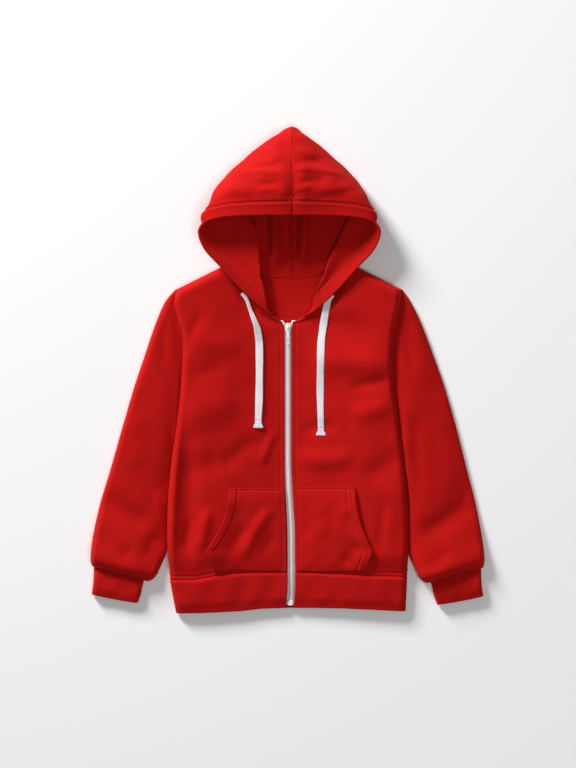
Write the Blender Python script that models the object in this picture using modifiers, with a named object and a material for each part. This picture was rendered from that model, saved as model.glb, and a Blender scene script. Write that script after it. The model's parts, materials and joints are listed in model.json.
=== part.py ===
"""A child's zip-front hoodie in fleece, lying on its back with the hood away from the hem.

Frame: metres, +Z up. The back panel lies on z = 0, +Y runs from the hem to the hood and +X is
the wearer's left. Tables and sizes are in millimetres. Every cloth piece is a grid of points on
the middle of its cloth, which Solidify turns into a wall. Pieces sewn together are 0.3 mm apart.
"""

import math

import bpy
import numpy as np
from mathutils import Matrix, Vector

MM = 0.001

# cloth and gaps
FLEECE = 2.4
RIB = 2.6
POCKET_CLOTH = 2.2
TAPE = 0.7
SEAM_GAP = 0.3
ARMHOLE_GAP = 0.6
CUFF_GAP = 0.9
SEAM_FLAT = 2.0  # strip beside a seam that lies level with its neighbour

# heights of the middle of the cloth above the surface
BACK_Z = FLEECE / 2
FRONT_EDGE_Z = BACK_Z + FLEECE + SEAM_GAP
FRONT_Z = 6.6
SLEEVE_TOP_Z = 7.4
CUFF_TOP_Z = 5.6
POCKET_Z = FRONT_Z + FLEECE / 2 + SEAM_GAP + POCKET_CLOTH / 2
TAPE_Z = 4.4

# zip
COIL_WIDTH = 5.2
COIL_DEPTH = 2.2
COIL_Z = TAPE_Z + TAPE / 2 + SEAM_GAP + COIL_DEPTH / 2
TAPE_WIDTH = 13.0
ZIP_END_Y = -340.0
SLIDER_Y = 61.0
SLIDER_LENGTH = 14.0
SLIDER_WIDTH = 8.2
PLATE = 1.0
PULL_LENGTH = 24.0
PULL_TILT = 3.0  # its end rests on the coil

# drawcords
CORD_DEPTH = 2.0
CORD_Z = FRONT_Z + FLEECE / 2 + SEAM_GAP + CORD_DEPTH / 2

# armhole line and side of the body in front of the sleeve: height up the body, edge on the
# wearer's right and on the left
BODY_SIDES = (
    # y, right x, left x
    (116.0, -160.4, 163.1),
    (98.0, -163.2, 161.4),
    (74.0, -157.4, 156.4),
    (56.0, -151.9, 153.0),
    (34.0, -151.2, 150.8),
    (6.0, -151.8, 149.9),
    (-22.0, -154.0, 151.5),
    (-50.0, -156.6, 155.6),
    (-85.0, -161.2, 161.4),
    (-133.0, -167.9, 167.2),
    (-187.0, -172.8, 171.9),
    (-245.0, -173.9, 174.0),
    (-303.0, -169.7, 171.4),
)

# seam between the panels and the hem band, and the band's lower edge
HEM = (
    # x, seam y, lower edge y
    (-172.0, -303.4, -352.6),
    (-135.0, -303.8, -352.2),
    (-107.0, -298.4, -351.0),
    (-72.0, -293.6, -349.4),
    (-40.0, -292.5, -345.8),
    (4.0, -292.0, -344.6),
    (44.0, -293.4, -344.8),
    (80.0, -295.6, -345.4),
    (106.0, -297.4, -346.6),
    (172.0, -299.2, -349.6),
)
BAND_TAPER_RIGHT = 9.5
BAND_TAPER_LEFT = 2.4

# half of the neck opening, from the zip over the neck point to the middle of the back neck
NECKLINE = (
    # distance from the middle, y
    (9.0, 69.6),
    (30.0, 76.0),
    (49.0, 88.0),
    (62.0, 105.0),
    (70.0, 126.0),
    (74.0, 146.0),
    (75.0, 160.0),
    (68.0, 149.0),
    (54.0, 140.5),
    (36.0, 135.0),
    (18.0, 132.0),
    (0.0, 131.4),
)
NECK_POINT = 6
MIDDLE_X = 2.0
SEAM_LEAN = 4.4  # the hood's centre seam wanders this far to the wearer's left
SEAM_REACH = 25.0

# middle of the zip and half the width left open between the fronts
ZIP_LINE = (
    # y, middle x, half opening
    (74.0, -1.0, 9.0),
    (68.0, -0.6, 7.0),
    (60.0, 0.0, 5.4),
    (46.0, 0.0, 4.6),
    (-116.0, 0.0, 4.5),
    (-160.0, 0.8, 4.7),
    (-200.0, 2.8, 5.0),
    (-230.0, 4.4, 5.2),
    (-292.0, 4.9, 5.3),
    (-318.0, 4.7, 5.4),
    (-346.0, 2.6, 5.4),
)

# sections of one hood half, from the neck seam to the crown seam. Each runs from the front edge
# over the brow and the outer fold, under to the floor and on to the centre seam.
HOOD = (
    # rim d, y, z | brow d, y, z | fold d, y, z | tuck d, y, z | floor d, y, z | seam y, z
    (38, 87, 13.5, 36, 99, 14.5, 43, 121, 14, 61, 146, 7, 40, 146, 2.4, 141, 1.2),
    (70, 116, 19, 54, 124, 18, 43, 137, 15.5, 58, 154, 8, 38, 154, 1.6, 150, 1.2),
    (101, 150, 24, 72, 152, 21, 45, 155, 16, 58, 166, 7.5, 36, 165, 1.2, 162, 1.2),
    (124, 176, 27, 92, 178, 21, 62, 182, 13, 60, 188, 5.5, 34, 186, 1.2, 182, 1.2),
    (131.5, 201, 30, 118, 206, 20, 98, 211, 9.5, 70, 212, 3, 36, 209, 1.2, 204, 1.2),
    (118, 214, 38, 124, 220, 28, 118, 228, 14, 90, 236, 3, 46, 235, 1.2, 228, 1.2),
    (95, 220, 45, 107, 240, 37, 108.5, 250, 15, 84, 255, 3, 42, 255, 1.2, 252, 1.2),
    (62, 222, 49, 82, 262, 44, 87, 284, 16, 66, 284, 3, 34, 283, 1.2, 282, 1.2),
    (32, 222.5, 50, 45, 272, 49, 49, 321, 17, 38, 316, 3, 20, 314, 1.2, 314, 1.2),
    (14, 222.5, 50.5, 19, 274, 51, 22, 326, 28, 18, 343, 13, 10, 342, 2.4, 338, 1.4),
    (0, 222.5, 51, 0, 274, 51.5, 0, 322, 34, 0, 346, 18, 0, 352, 10, 349, 4),
)

# sleeve of the wearer's right: outer and inner end of each section, how far its middle bows
# towards the body, and the height of its upper layer
SLEEVE = (
    # outer x, y | inner x, y | bow | top z
    (-177.0, 98.0, -164.6, -96.0, 9.0, 6.6),
    (-191.0, 66.0, -167.6, -118.0, 6.0, 7.4),
    (-206.0, 22.0, -170.6, -142.0, 4.0, 7.4),
    (-222.0, -26.0, -173.2, -170.0, 2.0, 7.4),
    (-239.0, -84.0, -175.0, -200.0, 0.0, 7.4),
    (-256.0, -144.0, -175.6, -234.0, 0.0, 7.4),
    (-270.5, -192.0, -176.6, -262.0, 0.0, 7.4),
    (-281.0, -238.0, -184.6, -282.0, 0.0, 7.4),
    (-285.0, -268.0, -192.4, -298.0, 1.0, 7.4),
    (-284.0, -281.0, -202.0, -304.8, 1.5, 6.6),
    (-280.0, -285.2, -209.0, -303.0, 2.0, CUFF_TOP_Z),
)
LEFT_SLEEVE_SHIFT = (-1.4, -2.6)  # the left sleeve's cuff end against a mirror image of the right
LEFT_SLEEVE_FULLER = 4.5  # how much further its outer edge stands out half way down

# cuff of the wearer's right: the same columns
CUFF = (
    (-280.2, -286.0, -209.2, -303.8, 2.0, CUFF_TOP_Z),
    (-280.4, -300.0, -212.0, -313.0, 1.0, CUFF_TOP_Z),
    (-281.6, -314.0, -214.5, -325.0, 0.0, CUFF_TOP_Z),
    (-283.4, -325.4, -219.0, -337.4, -1.0, CUFF_TOP_Z),
)

# slanted pocket opening of the wearer's right, from the top corner to the hem seam
POCKET_EDGE = (
    # distance from the middle, y
    (85.5, -171.4),
    (87.0, -190.8),
    (93.0, -214.6),
    (101.5, -233.5),
    (114.0, -254.6),
    (119.6, -262.0),
    (113.5, -277.0),
    (106.0, -289.5),
)

LEFT_POCKET_FLARE = 0.72  # the left pocket's edge slants less and stands further out
LEFT_POCKET_SHIFT = (36.0, 1.2)

# drawcords, from the casing to the tip
RIGHT_CORD = (
    # y, x, half width, twist from flat in degrees, lift
    (111.0, -66.6, 3.2, 66.0, 3.6),
    (102.0, -60.0, 3.2, 66.0, 2.6),
    (86.0, -54.2, 3.6, 58.0, 1.6),
    (73.0, -49.2, 4.2, 44.0, 1.0),
    (61.0, -44.8, 4.8, 26.0, 0.4),
    (47.0, -42.5, 5.3, 8.0, 0.0),
    (34.0, -41.4, 5.3, 0.0, 0.0),
    (-7.0, -41.3, 5.3, 0.0, 0.0),
    (-42.0, -41.8, 5.3, 0.0, 0.0),
    (-73.0, -42.9, 4.9, 0.0, 0.0),
)
LEFT_CORD = (
    (109.0, 64.0, 3.8, 40.0, 3.2),
    (101.0, 58.4, 4.6, 26.0, 2.2),
    (88.0, 55.0, 5.2, 12.0, 1.2),
    (75.0, 52.9, 5.3, 4.0, 0.4),
    (56.0, 50.0, 5.3, 0.0, 0.0),
    (36.0, 47.8, 5.3, 0.0, 0.0),
    (-7.0, 46.9, 5.2, 0.0, 0.0),
    (-42.0, 46.8, 5.0, 0.0, 0.0),
    (-84.0, 47.8, 4.4, 0.0, 0.0),
)
TIP_LENGTH = 11.0
TIP_WIDTH = 14.0

# how the panels are divided, as shares from the zip or middle to the side
FRONT_SHARES = (0.0, 0.12, 0.24, 0.36, 0.48, 0.6, 0.72, 0.81, 0.89, 0.96, 1.0)
SIDE_ROWS_BELOW = 6
SIDE_ROWS_ARMHOLE = 10
ARMPIT_Y = -85.0


def smooth(rows, at):
    """Points at positions `at` (0 to rows-1) on a Catmull-Rom curve through the rows."""
    rows = np.asarray(rows, float)
    last = len(rows) - 1
    padded = np.concatenate(([2 * rows[0] - rows[1]], rows, [2 * rows[-1] - rows[-2]]))
    at = np.clip(np.asarray(at, float), 0, last)
    i = np.minimum(at.astype(int), last - 1)
    t = (at - i).reshape((-1,) + (1,) * (rows.ndim - 1))
    a, b, c, d = padded[i], padded[i + 1], padded[i + 2], padded[i + 3]
    return 0.5 * (
        2 * b + (c - a) * t + (2 * a - 5 * b + 4 * c - d) * t**2
        + (3 * b - a - 3 * c + d) * t**3
    )


def column(table, key, value, at):
    """One column of a table as a smooth function of another."""
    dense = smooth(table, np.linspace(0, len(table) - 1, 400))
    order = np.argsort(dense[:, key])
    return np.interp(at, dense[order, key], dense[order, value])


def side_x(y, side):
    return column(BODY_SIDES, 0, 1 if side < 0 else 2, y)


def hem_y(x):
    return np.interp(x, [row[0] for row in HEM], [row[1] for row in HEM])


def hem_edge_y(x):
    return np.interp(x, [row[0] for row in HEM], [row[2] for row in HEM])


def zip_x(y):
    return column(ZIP_LINE, 0, 1, y)


def zip_half(y):
    return column(ZIP_LINE, 0, 2, y)


def from_middle(distance, side):
    """X of a point at a distance from the hood's middle, which leans near its centre seam."""
    distance = np.asarray(distance, float)
    return MIDDLE_X + SEAM_LEAN * np.exp(-distance / SEAM_REACH) + side * distance


def neckline(side):
    """The neck opening's edge on one side, from the zip to the middle of the back neck."""
    line = np.array(NECKLINE)
    x = from_middle(line[:, 0], side)
    front = np.arange(NECK_POINT + 1)
    x[front] = side * line[front, 0] + MIDDLE_X * front / NECK_POINT
    return np.column_stack((x, line[:, 1]))


def coons(bottom, top, start, end):
    """Grid between four edges: bottom and top run across, start and end run up."""
    across = np.linspace(0, 1, len(bottom))[:, None, None]
    up = np.linspace(0, 1, len(start))[None, :, None]
    ruled = (1 - up) * bottom[:, None] + up * top[:, None]
    ruled = ruled + (1 - across) * start[None] + across * end[None]
    corners = (1 - across) * ((1 - up) * bottom[0] + up * top[0])
    return ruled - corners - across * ((1 - up) * bottom[-1] + up * top[-1])


def side_line(side):
    """The body's edge from the hem seam to the shoulder tip."""
    x_hem = float(side_x(-300.0, side))
    low = np.linspace(float(hem_y(x_hem)), ARMPIT_Y, SIDE_ROWS_BELOW + 1)
    tip = BODY_SIDES[0][0]
    high = np.linspace(ARMPIT_Y, tip, SIDE_ROWS_ARMHOLE + 1)[1:]
    y = np.concatenate((low, high))
    return np.column_stack((side_x(y, side), y))


def shoulder(side):
    """Points from the neck point to the shoulder tip, neither end included."""
    start, end = neckline(side)[NECK_POINT], side_line(side)[-1]
    share = np.array((0.3, 0.58, 0.82))[:, None]
    return start + (end - start) * share


def ramp(distance, width):
    """Rises from 0 at an edge to 1 at `width` inside it, rounded at the top."""
    t = np.clip(distance / width, 0, 1)
    return 1 - (1 - t) ** 2


def front_z(x, y, side):
    """Height of the middle of a front: level inside, down on the back panel at its edges."""
    tip, neck = side_line(side)[-1], neckline(side)[NECK_POINT]
    along = (tip - neck) / np.linalg.norm(tip - neck)
    below = -side * ((x - neck[0]) * along[1] - (y - neck[1]) * along[0])
    inside = np.abs(side_x(y, side) - x)
    rise = ramp(inside, 20.0) * ramp(np.maximum(-below, 0.0), 20.0)
    return FRONT_EDGE_Z + (FRONT_Z - FRONT_EDGE_Z) * rise


def front_grid(side):
    """Middle of one front: across from the zip to the side, up from the hem to the neckline."""
    neck = neckline(side)[: NECK_POINT + 1]
    side_edge = side_line(side)
    top = np.vstack((neck, shoulder(side), side_edge[-1:]))
    up = np.concatenate((np.linspace(0, 0.9, len(side_edge) - 4), (0.94, 0.965, 0.985, 1.0)))
    foot = float(hem_y(side * 5.0))
    zip_y = foot + (neck[0, 1] - foot) * up
    zip_edge = np.column_stack((zip_x(zip_y) + side * zip_half(zip_y), zip_y))
    zip_edge[-1] = neck[0]
    x = zip_edge[0, 0] + (side_edge[0, 0] - zip_edge[0, 0]) * np.array(FRONT_SHARES)
    bottom = np.column_stack((x, hem_y(x)))
    flat = coons(bottom, top, zip_edge, side_edge)
    z = front_z(flat[..., 0], flat[..., 1], side)
    return np.dstack((flat, z))


def back_grid():
    """Middle of the back panel: across from the wearer's right to the left, up from the hem."""
    right, left = side_line(-1), side_line(1)
    halves = [
        np.vstack((side_line(s)[-1:], shoulder(s)[::-1], neckline(s)[NECK_POINT:]))
        for s in (-1, 1)
    ]
    top = np.vstack((halves[0], halves[1][-2::-1]))
    x = np.linspace(right[0, 0], left[0, 0], len(top))
    bottom = np.column_stack((x, hem_y(x)))
    flat = coons(bottom, top, right, left)
    return np.dstack((flat, np.full(flat.shape[:2], BACK_Z)))


def band_grid():
    """Hem band: round from the zip over the wearer's right side, the back and the left side."""
    ring = []
    for side in (-1, 1):
        edge = side_line(side)[0, 0]
        start = zip_x(-295.0) + side * zip_half(-295.0)
        x = start + (edge - start) * np.array(FRONT_SHARES)
        x[-1] = edge - side * 4.0
        z = FRONT_Z - 0.6 * np.clip((np.abs(x) - 140.0) / 30.0, 0, 1)
        front = np.column_stack((x, z))
        wrap = np.array([(edge - side * RIB / 2, (FRONT_Z + RIB / 2) / 2)])
        part = np.vstack((front, wrap))
        ring.append(part if side < 0 else part[::-1])
    back_x = back_grid()[:, 0, 0]
    back_x[0], back_x[-1] = back_x[0] + 5.0, back_x[-1] - 5.0
    back = np.column_stack((back_x, np.full(len(back_x), RIB / 2)))
    ring = np.vstack((ring[0], back, ring[1]))
    x, z = ring.T
    down = np.linspace(0, 1, 4)
    grid = np.zeros((len(x), len(down), 3))
    for j, share in enumerate(down):
        pull = np.where(x < 0, BAND_TAPER_RIGHT, BAND_TAPER_LEFT) * share
        grid[:, j, 0] = x * (1 - pull / 172.0)
        grid[:, j, 1] = hem_y(x) - SEAM_GAP + (hem_edge_y(x) - hem_y(x) + SEAM_GAP) * share
        grid[:, j, 2] = z
    for end in (0, -1):
        y = grid[end, :, 1]
        side = -1 if end == 0 else 1
        grid[end, :, 0] = zip_x(y) + side * zip_half(y)
    return grid


def ring_shares(count):
    """Shares across a flattened tube, closer together at its rounded ends."""
    angle = np.linspace(0, math.pi, count + 1)
    even = np.linspace(0, 1, count + 1)
    return 0.5 * even + 0.25 * (1 - np.cos(angle))


def tube_grid(lines, tops, wall):
    """Grid round a flattened tube. Each line is the path across one section and each top the
    height of its upper layer; the lower layer lies on the surface."""
    count = len(lines[0]) - 1
    rows = []
    for line, top in zip(lines, tops):
        low = wall / 2
        share = ring_shares(count)
        round_off = np.clip(np.minimum(share, 1 - share) * 2 * 12.0, 0, 1)
        half = (top - low) / 2 * np.sqrt(1 - (1 - round_off) ** 2)
        middle = (top + low) / 2
        upper = np.column_stack((line, middle + half))
        lower = np.column_stack((line, middle - half))[1:-1][::-1]
        rows.append(np.vstack((upper, lower)))
    return np.array(rows).transpose(1, 0, 2)


def section_line(row, count):
    """Path across a sleeve or cuff section, bowed towards the body in its middle."""
    outer, inner, bow = np.array(row[0:2]), np.array(row[2:4]), row[4]
    share = ring_shares(count)[:, None]
    along = (inner - outer) / np.linalg.norm(inner - outer)
    towards = np.array((-along[1], along[0]))
    return outer + (inner - outer) * share + towards * bow * 4 * share * (1 - share)


def on_side(line, side, shift):
    """The wearer's right as it is, or its mirror image with the end moved by a shift."""
    if side < 0:
        return line
    share = np.clip(-line[:, 1:2] / 300.0, 0, 1)
    return line * (-1, 1) + share * np.array(shift)


def sleeve_grid(side):
    """Sleeve tube from the armhole to the cuff seam."""
    count = SIDE_ROWS_ARMHOLE
    hole = side_line(side)[-1 : -count - 2 : -1]
    seam = hole + (side * ARMHOLE_GAP, 0.0)
    beside = hole + (side * (ARMHOLE_GAP + SEAM_FLAT), 0.0)
    beside[0] += (side * 1.0, -1.6)
    dense = np.array(SLEEVE)
    if side > 0:
        down = np.clip((SLEEVE[0][1] - dense[:, 1]) / 315.0, 0, 1)
        dense[:, 0] -= LEFT_SLEEVE_FULLER * np.sin(math.pi * down)
    lines = [seam, beside]
    lines += [on_side(section_line(row, count), side, LEFT_SLEEVE_SHIFT) for row in dense]
    if side > 0:
        for line in lines[2:]:
            line[-1, 0] = max(line[-1, 0], float(side_x(line[-1, 1], 1)) + 2.0)
    tops = [FRONT_EDGE_Z, FRONT_EDGE_Z + 0.2] + list(dense[:, 5])
    return tube_grid(lines, tops, FLEECE)


def cuff_grid(side):
    """Cuff tube from the sleeve's seam to its open end."""
    lines = [on_side(section_line(row, 8), side, LEFT_SLEEVE_SHIFT) for row in CUFF]
    lines[0] = lines[0] - (0.0, CUFF_GAP)
    return tube_grid(lines, [row[5] for row in CUFF], RIB)


def hood_grid(side):
    """Middle of one hood half: across from the front edge to the centre seam, up from the neck
    seam to the crown seam."""
    table = np.array([row[:15] + (0,) + row[15:] for row in HOOD], float)
    table = table.reshape(len(HOOD), 6, 3)
    neck = neckline(side)
    towards = np.array((MIDDLE_X, 118.0)) - neck
    towards[NECK_POINT:] = (-0.3 * side, 1.0)
    towards /= np.linalg.norm(towards, axis=1)[:, None]
    towards[NECK_POINT - 1 : NECK_POINT + 1] = ((-2.0 * side, 0.0), (-2.4 * side, 2.0))
    neck_z = np.interp(np.arange(12), (0, 4, 5, 6, 7, 8), (FRONT_Z, 6.6, 6.4, 4.6, 2.4, BACK_Z))
    across = np.linspace(0, 5, 12)
    upper = smooth(table, np.linspace(0, len(HOOD) - 1, 19))
    rows = [smooth(row, across) for row in upper]
    grid = np.array(rows)
    gap = SEAM_GAP * 0.7
    grid[..., 0] = np.maximum(grid[..., 0], gap)
    flat = grid[:, -1:].copy()
    flat[-1] = (grid[-1:, -2] + grid[-1:, -1]) / 2
    grid[:, -1, 0] = gap
    flat[..., 0] = gap + SEAM_FLAT
    grid = np.concatenate((grid[:, :-1], flat, grid[:, -1:]), axis=1)
    crown, beside = grid[-1:].copy(), grid[-1:].copy()
    crown[..., 0] = gap
    beside[..., 0] = gap + SEAM_FLAT
    beside[:, -1] = (grid[-2, -1] + grid[-1, -1]) / 2
    grid = np.concatenate((grid[:-1], beside, crown))
    grid[-3:, -4:, 0] = np.maximum(grid[-3:, -4:, 0], 2 * gap)
    grid[..., 0] = from_middle(grid[..., 0], side)
    edge = np.column_stack((neck + towards * SEAM_GAP, neck_z))
    inner = np.column_stack((neck + towards * (SEAM_GAP + SEAM_FLAT), neck_z))
    lines = []
    for line in (edge, inner):
        line[-1, 0] = from_middle(gap, side)
        level = line[-2:-1].copy()
        level[0, :2] = (from_middle(gap + SEAM_FLAT, side), line[-1, 1])
        level[0, 2] = line[-1, 2]
        lines.append(np.vstack((line[:-1], level, line[-1:])))
    return np.concatenate((np.array(lines), grid)).transpose(1, 0, 2)


def pocket_grid(side):
    """Patch pocket lying on its front, from the zip stitching to the slanted opening."""
    edge = smooth(POCKET_EDGE, np.linspace(0, len(POCKET_EDGE) - 1, 9))[::-1]
    if side > 0:
        edge = edge * (LEFT_POCKET_FLARE, 1.0) + LEFT_POCKET_SHIFT
    outer = np.column_stack((side * edge[:, 0], edge[:, 1]))
    up = np.linspace(0, 1, len(outer))
    zip_y = -292.6 + (-172.0 + 292.6) * up + (2.0 if side > 0 else 0.0) * up
    inner_x = zip_x(zip_y) + side * (zip_half(zip_y) + 1.4)
    inner = np.column_stack((inner_x, zip_y))
    share = np.linspace(0, 1, 8)[:, None]
    bottom = inner[0] + (outer[0] - inner[0]) * share
    bottom[:, 1] = hem_y(bottom[:, 0]) + 0.6
    inner[0, 1] = bottom[0, 1]
    outer[0] = bottom[-1]
    top = inner[-1] + (outer[-1] - inner[-1]) * share
    flat = coons(bottom, top, inner, outer)
    return np.dstack((flat, np.full(flat.shape[:2], POCKET_Z)))


def tape_grid(side):
    """Zip tape from beside the coil's middle to under the front, parting at the top."""
    y = np.concatenate((np.linspace(ZIP_END_Y, 40.0, 14), (50.0, 57.0, 63.0, 68.0, 72.0)))
    part = np.clip((y - 55.0) / 17.0, 0, 1) ** 1.4
    inner = 0.4 + part * 6.2
    outer = TAPE_WIDTH + part * 2.0
    share = np.linspace(0, 1, 3)[:, None]
    x = zip_x(y) + side * (inner + (outer - inner) * share)
    return np.dstack((x, np.broadcast_to(y, x.shape), np.full(x.shape, TAPE_Z)))


def cloth_material(name, colour, roughness, metallic=0.0):
    material = bpy.data.materials.new(name)
    material.use_nodes = True
    shader = material.node_tree.nodes["Principled BSDF"]
    shader.inputs["Base Color"].default_value = (*colour, 1.0)
    shader.inputs["Roughness"].default_value = roughness
    shader.inputs["Metallic"].default_value = metallic
    material.diffuse_color = (*colour, 1.0)
    return material


def mesh_object(name, points, faces, material):
    mesh = bpy.data.meshes.new(name)
    mesh.from_pydata([tuple(p) for p in np.asarray(points) * MM], [], faces)
    mesh.materials.append(material)
    mesh.update()
    obj = bpy.data.objects.new(name, mesh)
    garment.objects.link(obj)
    return obj


def grid_faces(across, up, closed):
    """Quads of a grid whose points are listed across first; closed joins its last column."""
    faces = []
    for i in range(across if closed else across - 1):
        k = (i + 1) % across
        for j in range(up - 1):
            faces.append((i * up + j, k * up + j, k * up + j + 1, i * up + j + 1))
    return faces


def cloth(name, grid, wall, material, closed=False):
    """A cloth piece: its middle surface thickened both ways by Solidify."""
    across, up = grid.shape[:2]
    faces = grid_faces(across, up, closed)
    obj = mesh_object(name, grid.reshape(-1, 3), faces, material)
    shell = obj.modifiers.new("wall", "SOLIDIFY")
    shell.thickness = wall * MM
    shell.offset = 0.0
    shell.use_even_offset = False
    shell.use_rim = True
    return obj


def loft(name, rings, material):
    """A closed body through rings of points, with a flat cap on each end."""
    rings = np.array(rings, float)
    first, second = rings[0], rings[1].mean(axis=0) - rings[0].mean(axis=0)
    spoke = first - first.mean(axis=0)
    turn = np.cross(spoke, np.roll(spoke, -1, axis=0)).sum(axis=0)
    if turn @ second < 0:
        rings = rings[:, ::-1]
    count, around = rings.shape[:2]
    faces = []
    for i in range(count - 1):
        for j in range(around):
            k = (j + 1) % around
            a, b = i * around, (i + 1) * around
            faces.append((a + j, a + k, b + k, b + j))
    faces.append(tuple(range(around))[::-1])
    faces.append(tuple((count - 1) * around + j for j in range(around)))
    return mesh_object(name, rings.reshape(-1, 3), faces, material)


def box(name, low, high, material):
    """A block between two corners with softened edges."""
    (x0, y0, z0), (x1, y1, z1) = low, high
    lower = [(x0, y0, z0), (x1, y0, z0), (x1, y1, z0), (x0, y1, z0)]
    upper = [(x, y, z1) for x, y, z in lower]
    return loft(name, [lower, upper], material)


def soften(obj, width):
    bevel = obj.modifiers.new("soft", "BEVEL")
    bevel.width = width * MM
    bevel.segments = 2
    bevel.limit_method = "ANGLE"


def flat_ring(centre, across, up, half_width, half_depth):
    """Ten points round a flat cord's section."""
    pattern = (
        (1.0, 0.0), (0.9, 0.75), (0.45, 1.0), (-0.45, 1.0), (-0.9, 0.75),
        (-1.0, 0.0), (-0.9, -0.75), (-0.45, -1.0), (0.45, -1.0), (0.9, -0.75),
    )
    return [centre + across * a * half_width + up * b * half_depth for a, b in pattern]


def cord(name, table, material):
    """Flat drawcord along its table, turned about its own line where it leaves the casing."""
    rows = smooth(table, np.linspace(0, len(table) - 1, 17))
    path = np.column_stack((rows[:, 1], rows[:, 0]))
    heading = np.gradient(path, axis=0)
    heading /= np.linalg.norm(heading, axis=1)[:, None]
    rings = []
    for (x, y), (hx, hy), row in zip(path, heading, rows):
        half, turn = row[2], math.radians(max(row[3], 0.0))
        rise = half * math.sin(turn) + CORD_DEPTH / 2 * (math.cos(turn) - 1) + row[4] * 0.4
        centre = np.array((x, y, CORD_Z + max(rise, 0.0)))
        side = np.array((hy, -hx, 0.0))
        top = np.array((0.0, 0.0, 1.0))
        across = side * math.cos(turn) + top * math.sin(turn)
        up = top * math.cos(turn) - side * math.sin(turn)
        rings.append(flat_ring(centre, across, up, half, CORD_DEPTH / 2))
    return loft(name, rings, material)


def cord_tip(name, table, material):
    """The cord's folded and stitched end, wider than the cord."""
    x, y = table[-1][1], table[-1][0] - SEAM_GAP
    z = CORD_Z + 0.4
    across, up = np.array((1.0, 0.0, 0.0)), np.array((0.0, 0.0, 1.0))
    steps = ((0.0, 0.76, 0.9), (0.35, 0.82, 1.15), (0.7, 0.96, 1.35), (0.92, 1.0, 1.3), (1.0, 0.93, 1.0))
    rings = []
    for share, width, depth in steps:
        centre = np.array((x, y - TIP_LENGTH * share, z))
        rings.append(flat_ring(centre, across, up, TIP_WIDTH / 2 * width, CORD_DEPTH / 2 * depth))
    return loft(name, rings, material)


def coil(name, material):
    """The closed row of teeth as one rounded bar, from the bottom box into the slider."""
    y = np.concatenate((np.linspace(ZIP_END_Y + 7.6, 30.0, 14), (SLIDER_Y - 2.0,)))
    across, up = np.array((1.0, 0.0, 0.0)), np.array((0.0, 0.0, 1.0))
    rings = [
        flat_ring(np.array((float(zip_x(v)), v, COIL_Z)), across, up, COIL_WIDTH / 2, COIL_DEPTH / 2)
        for v in y
    ]
    return loft(name, rings, material)


def union(target, tools):
    for tool in tools:
        joined = target.modifiers.new(tool.name, "BOOLEAN")
        joined.operation = "UNION"
        joined.solver = "EXACT"
        joined.object = tool
        garment.objects.unlink(tool)
        cutters.objects.link(tool)
        tool.hide_render = True
        tool.display_type = "WIRE"


def slider(name, material):
    """Slider: two plates joined by a post above the coil's end, flanges down both sides of the
    upper plate, and a bridge on top that the pull hangs from."""
    half, w = SLIDER_LENGTH / 2, SLIDER_WIDTH / 2
    y0, y1 = SLIDER_Y - half, SLIDER_Y + half
    under = TAPE_Z - TAPE / 2 - SEAM_GAP
    over = COIL_Z + COIL_DEPTH / 2 + SEAM_GAP
    top = over + PLATE
    body = box(name, (-w, y0, over), (w, y1, top), material)
    lower = box("lower_plate", (-w + 0.6, y0, under - PLATE), (w - 0.6, y1, under), material)
    post = box("post", (-0.9, y1 - 4.0, under - 0.5), (0.9, y1 - 0.6, over + 0.5), material)
    flange = TAPE_Z + TAPE / 2 + SEAM_GAP
    flanges = [
        box(f"flange_{k}", (a, y0, flange), (b, y1, over + 0.5), material)
        for k, (a, b) in enumerate(((-w, -w + 1.1), (w - 1.1, w)))
    ]
    legs = [
        box(f"leg_{k}", (-0.8, SLIDER_Y + a, top - 0.4), (0.8, SLIDER_Y + b, top + 2.2), material)
        for k, (a, b) in enumerate(((-2.6, -1.6), (1.6, 2.6)))
    ]
    bar = box("bridge_bar", (-0.8, SLIDER_Y - 2.2, top + 1.7), (0.8, SLIDER_Y + 2.2, top + 2.5), material)
    union(body, [lower, post, *flanges, *legs, bar])
    return body, top


def tilt(obj, pivot, degrees):
    """Turn a piece about an X axis through the pivot so that its far end drops."""
    at = Vector(pivot) * MM
    turn = Matrix.Rotation(math.radians(degrees), 4, "X")
    obj.data.transform(Matrix.Translation(at) @ turn @ Matrix.Translation(-at))


def pull(name, plate_top, material):
    """Pull tab hanging from the bridge: a flat tab with a window round the bridge and a slot."""
    z = plate_top + 0.85
    thick = 0.9
    half, end = 2.2, SLIDER_Y - PULL_LENGTH
    tab = box(name, (-half, end, z - thick / 2), (half, SLIDER_Y + 0.55, z + thick / 2), material)
    window = box("pull_window", (-1.15, SLIDER_Y - 3.9, z - 2), (1.15, SLIDER_Y - 0.55, z + 2), material)
    hole = box("pull_hole", (-0.9, end + 2.4, z - 2), (0.9, end + 9.0, z + 2), material)
    for piece in (tab, window, hole):
        tilt(piece, (0.0, SLIDER_Y, z), PULL_TILT)
    for tool in (window, hole):
        cut = tab.modifiers.new(tool.name, "BOOLEAN")
        cut.operation = "DIFFERENCE"
        cut.solver = "EXACT"
        cut.object = tool
        garment.objects.unlink(tool)
        cutters.objects.link(tool)
        tool.hide_render = True
        tool.display_type = "WIRE"
    return tab


for old in list(bpy.data.objects):
    bpy.data.objects.remove(old)
garment = bpy.data.collections.new("kids_hoodie")
cutters = bpy.data.collections.new("cutters")
cutters.hide_render = True
for group in (garment, cutters):
    bpy.context.scene.collection.children.link(group)

RED = cloth_material("red_fleece", (0.46, 0.006, 0.008), 0.9)
RED_RIB = cloth_material("red_rib", (0.43, 0.006, 0.008), 0.92)
WHITE_TAPE = cloth_material("white_tape", (0.82, 0.80, 0.82), 0.8)
WHITE_CORD = cloth_material("white_cord", (0.84, 0.82, 0.88), 0.85)
WHITE_NYLON = cloth_material("white_nylon", (0.84, 0.84, 0.85), 0.45)
WHITE_METAL = cloth_material("white_enamel", (0.80, 0.80, 0.81), 0.35)

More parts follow.
